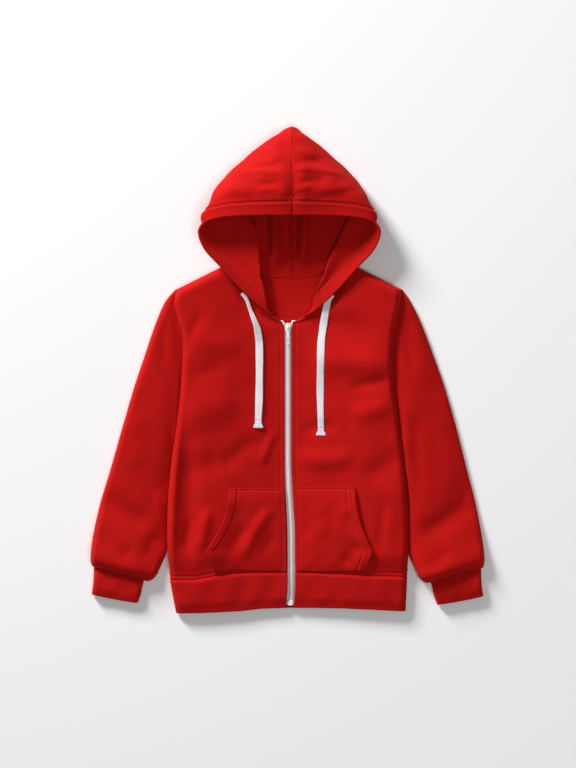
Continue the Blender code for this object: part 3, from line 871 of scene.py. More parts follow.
def new_group(name: str, inputs: dict,
              outputs: tuple) -> tuple[Nodes, dict[str, NodeSocket], Node]:
    """An empty shader node group with named sockets.

    Args:
        name: the group's name.
        inputs: default value by input name; a vector input has None.
        outputs: names of its outputs, which are plain numbers.

    Returns:
        Its wiring helper, its given sockets by name and its output node.
    """
    tree = bpy.data.node_groups.new(name, "ShaderNodeTree")
    for key, value in inputs.items():
        kind = "NodeSocketVector" if value is None else "NodeSocketFloat"
        socket = tree.interface.new_socket(key, in_out="INPUT", socket_type=kind)
        if value is not None:
            socket.default_value = value
    for key in outputs:
        tree.interface.new_socket(key, in_out="OUTPUT", socket_type="NodeSocketFloat")
    wires = Nodes(tree)
    given = wires.add("NodeGroupInput").outputs
    return wires, {key: given[key] for key in inputs}, wires.add("NodeGroupOutput")


def knit_group() -> NodeTree:
    """Knitted columns of small loops: a rounded wave across the wales, broken by a slanted wave
    along the courses.

    Returns:
        A group that puts out a height from 0 to 1.
    """
    turn, slope, loop_depth = 2 * math.pi / MM, 2.2, 0.22
    wires, given, made = new_group(
        "knit_loops", {"Place": None, "Wale": 1.1, "Course": 0.8}, ("Height",)
    )
    across, up, _ = wires.add("ShaderNodeSeparateXYZ", {0: given["Place"]}).outputs
    wale = wires.math("DIVIDE", wires.math("MULTIPLY", across, turn), given["Wale"])
    rib = wires.math("ABSOLUTE", wires.math("SINE", wires.math("MULTIPLY", wale, 0.5)))
    course = wires.math("DIVIDE", wires.math("MULTIPLY", up, turn), given["Course"])
    slant = wires.math("SINE", wires.math("ADD", course, wires.math("MULTIPLY", rib, slope)))
    loop = wires.math("MULTIPLY_ADD", slant, loop_depth, 1 - loop_depth)
    wires.feed(made, {"Height": wires.math("MULTIPLY", rib, loop)})
    return wires.tree


def nap_group() -> NodeTree:
    """Brushed pile: short fibres laid one way, clumps of them and a slow uneven tone.

    Returns:
        A group that puts out a height for the bump, and a tint near 1 that is partly random
        tone and partly painted light on raised fibre and painted shade in the hollows.
    """
    laid, slow_scale, clump_share, slow_share = (1.0, 0.45, 1.0), 14.0, 0.45, 0.6
    wires, given, made = new_group(
        "brushed_nap",
        {"Place": None, "Fibre": 900.0, "Clump": 160.0, "Mottle": 0.06},
        ("Height", "Tint"),
    )
    place = given["Place"]
    stretched = wires.add("ShaderNodeVectorMath", {0: place, 1: laid}, operation="MULTIPLY")
    fibre = wires.noise(stretched.outputs[0], given["Fibre"], 2.0, 0.6)
    clump = wires.noise(place, given["Clump"], 3.0, 0.55)
    slow = wires.noise(place, slow_scale, 2.0)
    fine = wires.math("MULTIPLY", fibre, 1 - clump_share)
    # the tint takes the clumps that also raise the height: painted light on raised fibre and
    # painted shade in the hollows, over a random tone
    coarse = wires.math("MULTIPLY", clump, 1 - slow_share)
    mixed = wires.math("MULTIPLY_ADD", slow, slow_share, coarse)
    strength = wires.math("MULTIPLY", given["Mottle"], 4.0)
    centred = wires.math("SUBTRACT", mixed, 0.5)
    wires.feed(made, {
        "Height": wires.math("MULTIPLY_ADD", clump, clump_share, fine),
        "Tint": wires.math("MULTIPLY_ADD", centred, strength, 1.0),
    })
    return wires.tree


def weave_group() -> NodeTree:
    """Herringbone weave: diagonal yarns whose slant changes from one strip to the next.

    Returns:
        A group that puts out a height from 0 to 1.
    """
    steepness = 1.1
    wires, given, made = new_group(
        "herringbone_weave", {"Place": None, "Yarn": 0.7, "Strip": 1.8}, ("Height",)
    )
    across, up, _ = wires.add("ShaderNodeSeparateXYZ", {0: given["Place"]}).outputs
    strip = wires.math("DIVIDE", wires.math("MULTIPLY", across, 1 / MM), given["Strip"])
    zigzag = wires.math("MULTIPLY", wires.math("PINGPONG", strip, 1.0), given["Strip"])
    slope = wires.math("MULTIPLY", zigzag, steepness)
    slant = wires.math("MULTIPLY_ADD", up, 1 / MM, slope)
    yarn = wires.math("DIVIDE", wires.math("MULTIPLY", slant, 2 * math.pi), given["Yarn"])
    height = wires.math("MULTIPLY_ADD", wires.math("SINE", yarn), 0.5, 0.5)
    wires.feed(made, {"Height": height})
    return wires.tree


@dataclass(frozen=True)
class Finish:
    """What every finish shares: its name and colour, and the shader its nodes feed."""

    name: str
    colour: tuple[float, float, float]
    roughness: float

    def start(self) -> tuple[Material, Nodes, Node]:
        """The finish in one even colour.

        Returns:
            A new material, its wiring helper and its main shader.
        """
        material = bpy.data.materials.new(self.name)
        material.use_nodes = True
        material.diffuse_color = (*self.colour, 1.0)
        wires = Nodes(material.node_tree)
        shader = material.node_tree.nodes["Principled BSDF"]
        wires.feed(shader, {"Base Color": (*self.colour, 1.0), "Roughness": self.roughness})
        return material, wires, shader

    def dress(self, wires: Nodes, shader: Node, height: NodeSocket,
              depth: float, tint: NodeSocket) -> None:
        """Feeds the shader's normal from a height and its colour from a tint.

        Args:
            wires: the material's wiring helper.
            shader: its main shader.
            height: the surface's relief.
            depth: what a height of 1 stands for, in millimetres.
            tint: what the finish's colour is multiplied by.
        """
        raised = {"Height": height, "Distance": depth * MM, "Strength": 1.0}
        bump = wires.add("ShaderNodeBump", raised)
        toned = {0: self.colour, "Scale": tint}
        colour = wires.add("ShaderNodeVectorMath", toned, operation="SCALE")
        wires.feed(shader, {"Normal": bump.outputs[0], "Base Color": colour.outputs[0]})


@dataclass(frozen=True)
class ClothFinish(Finish):
    """Cloth of loops or yarns under loose fibres, with a soft sheen.

    Attributes:
        depth, pile: depth of the loops or yarns and of the fibres in millimetres.
        mottle: strength of the fibres' uneven colour, partly random tone and partly
            painted light and shade that follow their clumps.
            hollow_shade, raised: painted shade in the hollows of the loops or yarns, and how much
            brighter their raised tops are painted.
        sheen, sheen_roughness: how strongly and how widely light grazes the fibres.
    """

    depth: float = 0.05
    pile: float = 0.12
    mottle: float = 0.06
    hollow_shade: float = 0.9
    raised: float = 0.14
    sheen: float = 0.16
    sheen_roughness: float = 0.45

    def cloth(self, pattern: NodeTree, nap: NodeTree,
              **spacing: float) -> tuple[Material, Nodes, Node]:
        """The finish with its pattern along the cloth and its fibres all over.

        Args:
            pattern: the shared loops or yarns.
            nap: the shared fibres.
            spacing: the pattern's spacings in millimetres by input name.

        Returns:
            A new material, its wiring helper and its main shader.
        """
        material, wires, shader = self.start()
        along_cloth = wires.add("ShaderNodeUVMap", uv_map="cloth").outputs[0]
        place = wires.add("ShaderNodeTexCoord").outputs["Object"]
        relief = wires.effect(pattern, Place=along_cloth, **spacing).outputs["Height"]
        fibres = wires.effect(nap, Place=place, Mottle=self.mottle).outputs
        deep = wires.math("MULTIPLY", relief, self.depth)
        height = wires.math("MULTIPLY_ADD", fibres["Height"], self.pile, deep)
        # painted shade in the hollows of the loops or yarns and a painted highlight on their
        # raised tops, multiplied into the colour
        shade = wires.math("MULTIPLY_ADD", relief, self.raised, self.hollow_shade)
        self.dress(wires, shader, height, 1.0, wires.math("MULTIPLY", fibres["Tint"], shade))
        wires.feed(shader, {"Sheen Weight": self.sheen, "Sheen Roughness": self.sheen_roughness})
        return material, wires, shader


@dataclass(frozen=True)
class KnitFinish(ClothFinish):
    """Knitted cloth: brushed loops whose sheen takes the cloth's colour.

    Attributes:
        wale, course: spacing of the loops in millimetres.
        sheen_tint: colour of the sheen.
        specular: how strongly the cloth shines.
    """

    wale: float = 1.1
    course: float = 0.8
    sheen_tint: tuple[float, float, float] = (1.0, 0.22, 0.18)
    specular: float = 0.12

    def material(self, knit: NodeTree, nap: NodeTree) -> Material:
        """The finish as a material.

        Args:
            knit: the shared loops.
            nap: the shared fibres.

        Returns:
            A new material.
        """
        material, wires, shader = self.cloth(knit, nap, Wale=self.wale, Course=self.course)
        tint = (*self.sheen_tint, 1.0)
        wires.feed(shader, {"Sheen Tint": tint, "Specular IOR Level": self.specular})
        return material


@dataclass(frozen=True)
class WovenFinish(ClothFinish):
    """Woven tape or cord: herringbone yarns with painted shade in their hollows.

    Attributes:
        yarn, strip: spacing of the yarns and width of a strip in millimetres.
    """

    depth: float = 0.12
    pile: float = 0.05
    mottle: float = 0.02
    # painted shade in the yarns' hollows, and painted light on their raised tops
    hollow_shade: float = 0.88
    raised: float = 0.12
    sheen: float = 0.15
    sheen_roughness: float = 0.5
    yarn: float = 0.7
    strip: float = 1.8

    def material(self, weave: NodeTree, nap: NodeTree) -> Material:
        """The finish as a material, from the shared yarns and fibres."""
        return self.cloth(weave, nap, Yarn=self.yarn, Strip=self.strip)[0]


@dataclass(frozen=True)
class HardFinish(Finish):
    """Moulded nylon, enamelled metal or sewing thread: fine unevenness and light scuffs.

    Attributes:
        grain: depth of the unevenness in millimetres.
        coat: clear coat over the colour.
        scale: fineness of the unevenness.
        mottle: strength of its uneven colour, partly random tone and partly painted
        light and shade that follow the unevenness.
        scuff: how much the roughness varies.
    """

    grain: float = 0.01
    coat: float = 0.0
    scale: float = 700.0
    mottle: float = 0.03
    scuff: float = 0.2

    def material(self, nap: NodeTree) -> Material:
        """The finish as a material, its roughness and height from the shared unevenness.

        Args:
            nap: the shared unevenness.

        Returns:
            A new material.
        """
        material, wires, shader = self.start()
        place = wires.add("ShaderNodeTexCoord").outputs["Object"]
        fineness = {"Fibre": self.scale, "Clump": self.scale / 4}
        uneven = wires.effect(nap, Place=place, Mottle=self.mottle, **fineness)
        height, smoothest = uneven.outputs["Height"], self.roughness - self.scuff / 2
        # the tint is random tone with painted light on the raised grain and painted shade between
        self.dress(wires, shader, height, self.grain, uneven.outputs["Tint"])
        rough = wires.math("MULTIPLY_ADD", height, self.scuff, smoothest)
        wires.feed(shader, {"Roughness": rough, "Coat Weight": self.coat})
        return material


class Wardrobe:
    """Every material of the garment, made once from the shared node groups."""

    def __init__(self) -> None:
        """Builds the groups and then each finish."""
        knit, nap, weave = knit_group(), nap_group(), weave_group()
        fleece = KnitFinish("red_fleece", (0.46, 0.0030, 0.0020), 0.85)
        rib = KnitFinish(
            "red_rib", (0.45, 0.0030, 0.0022), 0.85,
            wale=2.4, course=1.0, depth=0.1, pile=0.08, sheen=0.14,
        )
        tape = WovenFinish("white_tape", (0.94, 0.93, 0.94), 0.75)
        cord = WovenFinish(
            "white_cord", (0.94, 0.915, 0.96), 0.8, yarn=1.0, strip=1.75, depth=0.22
        )
        nylon = HardFinish("white_nylon", (0.93, 0.93, 0.93), 0.42, coat=0.15)
        enamel = HardFinish("white_enamel", (0.86, 0.86, 0.87), 0.3, coat=0.5)
        thread = HardFinish("red_thread", (0.40, 0.008, 0.008), 0.5, grain=0.04, scale=2600)
        self.fleece, self.rib = fleece.material(knit, nap), rib.material(knit, nap)
        self.tape, self.cord = tape.material(weave, nap), cord.material(weave, nap)
        self.nylon, self.enamel = nylon.material(nap), enamel.material(nap)
        self.thread = thread.material(nap)


@dataclass
class Stitching:
    """Rows of short thread stitches, collected and built as one piece.

    Attributes:
        name: the piece's name.
        pitch, length: spacing of the stitches and the length of one.
        radius: half the thread's thickness.
        dip: how deep a stitch's ends go into the cloth.
        parts: the stitches of each line, as rings of points.
    """

    name: str
    pitch: float = 3.3
    length: float = 2.5
    radius: float = 0.32
    dip: float = 0.35
    parts: list = field(default_factory=list)

    def sew(self, line: tuple[Array, Array], start: float = 0.0, end: float = 0.0) -> None:
        """Lays stitches along a line. Each is a tapered tube of four rings of six points, bowed
        so that its ends dip into the cloth.

        Args:
            line: points and normals.
            start, end: lengths left bare at the line's ends.
        """
        points, normals = line
        run = run_of(points)
        at = np.arange(start + self.length, run[-1] - end - self.length, self.pitch)
        if not len(at):
            return
        beside = 0.6
        ahead = unit(read(points, run, at + beside) - read(points, run, at - beside))
        side = unit(np.cross(read(normals, run, at), ahead))
        up = np.cross(ahead, side)
        t = np.array((-1.0, -0.6, 0.6, 1.0))[None, :, None, None]
        wide = np.array((0.25, 1.0, 1.0, 0.25))[None, :, None, None] * self.radius
        angle = circle(6)[None, None, :, None]
        base = read(points, run, at)[:, None, None] + ahead[:, None, None] * t * self.length / 2
        base = base + up[:, None, None] * (self.radius * 0.5 - self.dip * t**2)
        ring = side[:, None, None] * np.cos(angle) + up[:, None, None] * np.sin(angle)
        self.parts.append(base + ring * wide)

    def build(self, material: Material) -> Object:
        """One mesh of all the stitches.

        Args:
            material: the thread.

        Returns:
            The piece, riding on the garment.
        """
        rings = np.concatenate(self.parts)
        index = wrapped(np.arange(rings[..., 0].size).reshape(rings.shape[:3]), 2)
        a, b = index[:, :-1, :-1], index[:, 1:, :-1]
        c, d = index[:, 1:, 1:], index[:, :-1, 1:]
        walls = np.stack((a, d, c, b), axis=-1).reshape(-1, 4)
        caps = [index[:, 0][:, half[::-1]] for half in HEXAGON]
        caps += [index[:, -1][:, half] for half in HEXAGON]
        faces = np.concatenate((walls, *caps))
        return wear(make_mesh(self.name, rings.reshape(-1, 3), faces, material), "red_fleece")


@dataclass
class Assembly:
    """A sub-assembly of the garment, dressed from the wardrobe."""

    wardrobe: Wardrobe


@dataclass
class Body(Assembly):
    """Back, two fronts and the hem band, and the height of the front that all on it share.

    Attributes:
        step: spacing of the grids' lines.
        loft: how far the front stands up beside the zip.
        lean: how much further it stands up towards its sides.
        roll, armhole_roll: width of the rolled sides, and of the roll at the armholes.
        seam_top: height of the armhole seam.
        zip_stitch, hem_stitch, neck_stitch: distance of the stitching from those edges.
        width, length: cut of a front, used to space its grid.
        back_width, back_length: the same of the back.
        folds: creases of the fronts, in plan.
    """

    step: float = 2.1
    loft: float = 2.6
    lean: float = 8.5
    roll: float = 9.0
    armhole_roll: float = 7.0
    seam_top: float = 6.2
    zip_stitch: float = 7.2
    hem_stitch: float = 5.0
    neck_stitch: float = 9.0
    width: float = 168.0
    length: float = 385.0
    back_width: float = 340.0
    back_length: float = 430.0
    folds: tuple = (
        # chest of the wearer's left
        Fold((24, 66), (136, 52), 20, -3.4, bow=3),
        Fold((34, 12), (150, 2), 20, 5.5, bow=5),
        Fold((88, -26), (148, -14), 9, -2.6),
        Fold((92, -70), (152, -46), 15, 4.2),
        Fold((12, -126), (96, -122), 14, 4.4, bow=-7),
        Fold((18, -88), (72, -80), 10, -2.3),
        Fold((112, -158), (166, -120), 17, -3.4),
        Fold((24, 10), (52, -78), 9, -1.6, bow=5),
        # chest of the wearer's right
        Fold((-150, 60), (-66, 34), 18, 2.9, bow=-5),
        Fold((-154, 24), (-124, 84), 9, -2.3),
        Fold((-150, -66), (-74, -48), 24, 4.4, bow=4),
        Fold((-146, -10), (-92, 2), 13, -1.8),
        Fold((-96, -146), (-40, -100), 13, -2.6, bow=5),
        Fold((-150, -150), (-96, -134), 20, -3.1),
        Fold((-40, -138), (-20, -88), 7, 2.6),
        Fold((-172, -300), (-160, -64), 7, 4.4),
        Fold((-147, -296), (-142, -84), 13, -3.9),
        # beside and below the pockets
        Fold((-128, -262), (-116, -200), 9, 4.0, sharp=0.8),
        Fold((-149, -262), (-138, -208), 9, -2.4),
        Fold((132, -262), (141, -186), 9, -1.9),
        Fold((146, -246), (152, -170), 11, 1.6),
    )

    def armhole_z(self, y: Array) -> Array:
        """Height of the front's edge: low at the shoulder tip and below the armpit, and higher
        along the armhole between."""
        up = ease((y - ARMPIT_Y - 4) / 16.0) * ease((SHOULDER_Y - 6 - y) / 26.0)
        return FRONT_EDGE_Z + (self.seam_top - FRONT_EDGE_Z) * up

    def swell(self, x: Array, y: Array) -> Array:
        """Loft, folds and ripple of the front, pressed down along the zip and the hem.

        Args:
            x, y: the points.

        Returns:
            How far each point stands over the front's level height.
        """
        pressed = 0.45
        off = np.abs(x - zip_x(y))
        rise = self.loft * ease((off - 9) / 42.0) + self.lean * ease((off - 20) / 125.0)
        rise = rise + folds_at(self.folds, x, y) * ease((off - 6) / 12.0)
        rise = rise + ripple(x, y, 46.0, 0.34, 3) * ease((off - 6) / 14.0)
        near_hem = ease((y - hem_y(x)) / 34.0)
        return rise * (pressed + (1 - pressed) * near_hem)

    def top(self, x: Array, y: Array, side: Side) -> Array:
        """Height of the middle of a front: its edge height, rising round the rolled side and
        below the shoulder seam to the level height and the swell.

        Args:
            x, y: the points.
            side: which front.

        Returns:
            A height for each point.
        """
        tip = np.array((float(side_x(SHOULDER_Y, side)), SHOULDER_Y))
        neck = neckline(side)[NECK_POINT]
        way = unit(tip - neck)
        below = side.value * ((x - neck[0]) * way[1] - (y - neck[1]) * way[0])
        inside = np.abs(side_x(y, side) - x)
        armhole = ease((y - ARMPIT_Y) / 20.0)
        roll = self.roll - (self.roll - self.armhole_roll) * armhole
        rise = round_off(inside / roll) * round_off(np.maximum(below, 0.0) / 12.0)
        neck_gap = ease(away(x, y, neckline(side)[: NECK_POINT + 1]) / 16.0)
        edge = self.armhole_z(y)
        return edge + rise * (FRONT_Z - edge + self.swell(x, y) * neck_gap)

    def front(self, side: Side) -> Cloth:
        """One front: a patch between its four edges, at the front's height.

        Args:
            side: which front.

        Returns:
            The cloth, from the zip edge to the side and from the hem seam to the neck.
        """
        across = spaced(self.width, self.step, (self.zip_stitch,))
        up = spaced(self.length, self.step, (self.hem_stitch,))
        sign = side.value
        neck = smooth(neckline(side)[: NECK_POINT + 1], np.linspace(0, NECK_POINT, 60))
        low_x = float(side_x(FOOT_Y, side))
        side_y = hem_y(low_x) + (SHOULDER_Y - hem_y(low_x)) * up
        side_edge = np.column_stack((side_x(side_y, side), side_y))
        top = along(np.vstack((neck, side_edge[-1:])), across)
        foot = float(hem_y(sign * 5.0))
        zip_y = foot + (neck[0, 1] - foot) * up
        zip_edge = np.column_stack((zip_x(zip_y) + sign * zip_half(zip_y), zip_y))
        zip_edge[-1] = neck[0]
        x = zip_edge[0, 0] + (side_edge[0, 0] - zip_edge[0, 0]) * across
        bottom = np.column_stack((x, hem_y(x)))
        flat = coons(bottom, top, zip_edge, side_edge, across, up)
        z = self.top(flat[..., 0], flat[..., 1], side)
        cloth = Cloth(f"front_{side.word}", np.dstack((flat, z)), sign, FLEECE)
        cloth.press = sewn(cloth.distance(Edge.START), self.zip_stitch, 0.4)
        cloth.press = cloth.press + sewn(cloth.distance(Edge.BOTTOM), self.hem_stitch, 0.5)
        return cloth

    def back(self) -> Cloth:
        """The back panel: a level patch, its inside showing in the neck opening.

        Returns:
            The cloth, from the wearer's right to the left and from the hem seam to the neck.
        """
        across, up = spaced(self.back_width, 3.2), spaced(self.back_length, 5.0)
        edges = {}
        for side in Side:
            low_x = float(side_x(FOOT_Y, side))
            y = hem_y(low_x) + (SHOULDER_Y - hem_y(low_x)) * up
            edges[side] = np.column_stack((side_x(y, side), y))
        halves = []
        for side in Side:
            neck = smooth(neckline(side)[NECK_POINT:], np.linspace(0, NECK_END - NECK_POINT, 40))
            halves.append(np.vstack((edges[side][-1:], neck)))
        top = along(np.vstack((halves[0], halves[1][-2::-1])), across)
        right, left = edges[Side.RIGHT], edges[Side.LEFT]
        x = right[0, 0] + (left[0, 0] - right[0, 0]) * across
        flat = coons(np.column_stack((x, hem_y(x))), top, right, left, across, up)
        cloth = Cloth("back", np.dstack((flat, np.full(flat.shape[:2], BACK_Z))), 1, FLEECE)
        cloth.press = sewn(cloth.distance(Edge.TOP), self.neck_stitch, 0.6, 2.0)
        return cloth

    def band(self) -> Cloth:
        """The hem band. Its section is a long loop with half circles at the two sides, carried
        down with a puff; its upper layer follows the front's swell, and its ends the zip.

        Returns:
            The cloth, from the zip over the wearer's right, the back and the left to the zip.
        """
        low, high = RIB / 2, FRONT_Z - 0.3
        radius, middle = (high - low) / 2, (high + low) / 2
        zip_y = -295.0
        starts = [float(zip_x(zip_y) + s.value * zip_half(zip_y)) for s in Side]
        right_edge, left_edge = (float(side_x(FOOT_Y, s)) for s in Side)
        bend_right, bend_left = right_edge + radius, left_edge - radius
        turn = np.linspace(0, math.pi, 14)[1:-1]
        share = spaced(164.0, 2.2)
        right_x = starts[0] + (bend_right - starts[0]) * share
        left_x = starts[1] + (bend_left - starts[1]) * share
        back_x = np.linspace(bend_right, bend_left, 110)
        bent = radius * np.sin(turn)
        x = np.concatenate((right_x, bend_right - bent, back_x, bend_left + bent, left_x[::-1]))
        z = np.concatenate((
            np.full(len(right_x), high), middle + radius * np.cos(turn),
            np.full(len(back_x), low), middle - radius * np.cos(turn),
            np.full(len(left_x), high),
        ))
        down = spaced(52.0, 1.7)
        taper = np.where(x < 0, BAND_TAPER_RIGHT, BAND_TAPER_LEFT)[:, None] * down
        grid = np.zeros((len(x), len(down), 3))
        grid[..., 0] = x[:, None] * (1 - taper / HALF_HEM)
        drop = (hem_edge_y(x) - hem_y(x))[:, None]
        grid[..., 1] = hem_y(x)[:, None] - SEAM_GAP + (drop + SEAM_GAP) * down
        puff = ease(down * 11.0) * ease((1 - down) * 3.0)
        upper = ((z - low) / (high - low))[:, None]
        wave = ripple(grid[..., 0], grid[..., 1] * 0.4, 30.0, 0.5, 8)
        inside = np.interp(x, (right_edge, left_edge), (0.0, left_edge * 2))
        inside = np.minimum(inside, left_edge * 2 - inside)
        rise = self.swell(x, hem_y(x)) * round_off((inside - radius) / self.roll) + FRONT_Z - high
        rise = rise[:, None] * (1 - 0.5 * down)
        grid[..., 2] = z[:, None] + upper * (puff * (2.6 + wave) + rise)
        for end, side in ((0, Side.RIGHT), (-1, Side.LEFT)):
            y = grid[end, :, 1]
            goal = zip_x(y) + side.value * zip_half(y)
            near = np.exp(-np.abs(grid[..., 0] - grid[end, :, 0]) / 14.0) * (upper > 0.99)
            near = near * (np.sign(x)[:, None] == side.value)
            grid[..., 0] += near * (goal - grid[end, :, 0])
        return Cloth("hem_band", grid, 1, RIB)

    def make(self) -> None:
        back = wear(self.back().build(self.wardrobe.fleece), "red_fleece", "back")
        thread = Stitching("thread_body")
        for side in Side:
            front = self.front(side)
            thread.sew(front.line(Edge.START, self.zip_stitch), 4, 2)
            thread.sew(front.line(Edge.BOTTOM, self.hem_stitch), 3, 6)
            obj = wear(front.build(self.wardrobe.fleece), "red_fleece", front.name)
        band = wear(self.band().build(self.wardrobe.rib), "red_rib", "hem_band")
        thread.build(self.wardrobe.thread)


@dataclass
class Sleeves(Assembly):
    """Two sleeves and their rib cuffs: flattened tubes whose lower layer lies on the surface.

    Attributes:
        body: the fronts they are sewn to.
        around: points across one layer.
        along_count: sections down the sleeve.
        rounded, cuff_rounded: share of the width that each rounded side takes.
        dome: how much fuller the middle of a sleeve is than its sides.
        right_slope, left_slope: how deep the side next to the body lies, over what share of
            the width, and how much the whole sleeve leans towards the body.
        folds, left_folds: creases of the wearer's right and left, in plan.
    """

    body: Body
    around: int = 84
    along_count: int = 150
    rounded: float = 0.075
    cuff_rounded: float = 0.07
    dome: float = 3.2
    right_slope: tuple[float, float, float] = (3.4, 0.22, -4.0)
    left_slope: tuple[float, float, float] = (2.4, 0.14, 10.0)
    folds: tuple = (
        Fold((-168, 84), (-166, 20), 5.5, 1.5),
        Fold((-178, 70), (-180, 6), 7, -1.4),
        Fold((-196, 60), (-206, -40), 14, 1.2),
        Fold((-222, -132), (-186, -196), 17, -1.8, bow=4),
        Fold((-190, -172), (-181, -228), 8, 2.0),
        Fold((-276, -180), (-200, -224), 17, -4.2, bow=-3),
        Fold((-208, -276), (-192, -236), 10, -2.2),
        Fold((-246, -272), (-222, -258), 9, -1.4),
        Fold((-232, -96), (-206, -60), 13, 1.1),
    )
    left_folds: tuple = (
        Fold((170, 78), (176, -4), 8, -1.9),
        Fold((190, 62), (200, -20), 14, 1.2),
        Fold((184, -60), (190, -200), 10, -1.6),
        Fold((214, -96), (238, -190), 18, 1.2, bow=6),
        Fold((226, -176), (262, -160), 15, -1.2),
        Fold((188, -240), (276, -180), 16, -4.4, bow=-4),
        Fold((202, -290), (232, -262), 9, -1.4),
        Fold((236, -130), (216, -60), 12, 1.0),
    )

    @staticmethod
    def shares(count: int) -> Array:
        """Shares across a flattened tube, closer together at its rounded ends."""
        angle = np.linspace(0, math.pi, count + 1)
        return 0.5 * np.linspace(0, 1, count + 1) + 0.25 * (1 - np.cos(angle))

    def section(self, rows: Array, side: Side, share: Array) -> Array:
        """Paths across sections, each bowed towards the body as a parabola.

        Args:
            rows: table rows of outer end, inner end and bow.
            side: which half; the left is the mirror image with its end shifted.
            share: places across.

        Returns:
            Points in plan, sections first.
        """
        outer, inner = rows[:, None, 0:2], rows[:, None, 2:4]
        way = unit(inner - outer)
        towards = np.stack((-way[..., 1], way[..., 0]), axis=-1)
        s = share[None, :, None]
        line = outer + (inner - outer) * s + towards * rows[:, None, 4:5] * 4 * s * (1 - s)
        if side is Side.LEFT:
            shift = np.clip(-line[..., 1:2] / 300.0, 0, 1) * np.array(LEFT_SLEEVE_SHIFT)
            line = line * (-1, 1) + shift
            beside_body, gap = line[:, -1, 1] > -235.0, 2.0
            edge = side_x(line[:, -1, 1], side) + gap
            push = np.where(beside_body, np.maximum(edge - line[:, -1, 0], 0.0), 0.0)
            line[..., 0] += push[:, None] * ease((share - 0.6) / 0.4)
        return line

    def tube(self, lines: Array, tops: Array, share: Array, wall: float, ends: float) -> Array:
        """Grid round a flattened tube: an upper and a lower layer over each path, meeting in
        quarter rounds at both ends of the section.

        Args:
            lines: paths in plan, sections first.
            tops: height of the upper layer, one a section and place.
            share: places across.
            wall: thickness of the cloth.
            ends: share of the width that each rounded end takes.

        Returns:
            Points round the tube first, sections second.
        """
        low = wall / 2
        rounded = round_off(np.minimum(share, 1 - share) / ends)[None]
        half = (tops - low) / 2 * rounded
        middle = low + (FRONT_EDGE_Z - low) / 2 + (tops - FRONT_EDGE_Z) / 2 * rounded
        upper = np.dstack((lines, middle + half))
        lower = np.dstack((lines, np.maximum(middle - half, low)))[:, -2:0:-1]
        return np.concatenate((upper, lower), axis=1).transpose(1, 0, 2)

    def sleeve(self, side: Side) -> Cloth:
        """The sleeve: sections carried from the armhole seam to the cuff seam, domed over its
        lower layer and rounded over the cuff.

        Args:
            side: which sleeve.

        Returns:
            The cloth, round the sleeve first.
        """
        share = self.shares(self.around)
        table = np.array(SLEEVE)
        if side is Side.LEFT:
            down = np.clip((SLEEVE[0][1] - table[:, 1]) / 315.0, 0, 1)
            table[:, 0] -= LEFT_SLEEVE_FULLER * np.sin(math.pi * down)
        hole_y = SHOULDER_Y + (ARMPIT_Y - SHOULDER_Y) * share
        hole = np.column_stack((side_x(hole_y, side) + side.value * 0.2, hole_y))
        beside = hole + (side.value * 2.6, 0.0)
        beside[:, 1] -= 1.6 * (1 - share) ** 8
        lines = np.concatenate((hole[None], beside[None], self.section(table, side, share)))
        hole_z = self.body.armhole_z(hole_y)[None]
        rest_z = np.repeat(table[:, 5:6], len(share), axis=1)
        tops = np.concatenate((hole_z - 0.3, hole_z + 0.6, rest_z))
        last = len(lines) - 1.0
        near = np.concatenate((np.linspace(0, 0.97, 9), np.linspace(1, 2, 12)[:-1]))
        long = np.linspace(2, last - 2, self.along_count - 54)[:-1]
        at = np.concatenate((near, long, np.linspace(last - 2, last, 34)))
        lines, tops = smooth(lines, at), smooth(tops, at)
        swell = (ease((at - 1) / 3.0) * ease((last - at) / 1.6))[:, None]
        low, reach, lean = self.right_slope if side is Side.RIGHT else self.left_slope
        slope = low * bell(share - 1, reach) - lean * (share - 0.5)
        x, y = lines[..., 0], lines[..., 1]
        crease = folds_at(self.folds if side is Side.RIGHT else self.left_folds, x, y)
        crease = crease + ripple(x, y, 40.0, 0.3, 12 + side.value)
        domed = self.dome * np.sin(math.pi * share) ** 0.8 - slope + crease
        thinnest = 4.2
        grid = self.tube(
            lines, np.maximum(tops + domed * swell, thinnest), share, FLEECE, self.rounded
        )
        return Cloth(f"sleeve_{side.word}", grid, side.value, FLEECE, closed=True, edge=1.4)

    def cuff(self, side: Side) -> Cloth:
        """The cuff: sections carried from the sleeve's seam to the open end.

        Args:
            side: which cuff.

        Returns:
            The cloth, round the cuff first.
        """
        share = self.shares(40)
        rows = smooth(np.array(CUFF), spaced(38.0, 1.6) * (len(CUFF) - 1))
        lines = self.section(rows, side, share)
        uneven = ripple(lines[..., 0], lines[..., 1], 22.0, 0.35, 31 + side.value)
        tops = np.repeat(rows[:, 5:6], len(share), axis=1) + uneven
        grid = self.tube(lines, tops, share, RIB, self.cuff_rounded)
        return Cloth(f"cuff_{side.word}", grid, side.value, RIB, closed=True)

    def make(self) -> None:
        """Builds and dresses sleeves and cuffs, and sets them on the garment in place of their CAD
        nodes.
        """
        for side in Side:
            sleeve, cuff = self.sleeve(side), self.cuff(side)
            obj = wear(sleeve.build(self.wardrobe.fleece), "red_fleece", sleeve.name)
            obj = wear(cuff.build(self.wardrobe.rib), "red_rib", cuff.name)


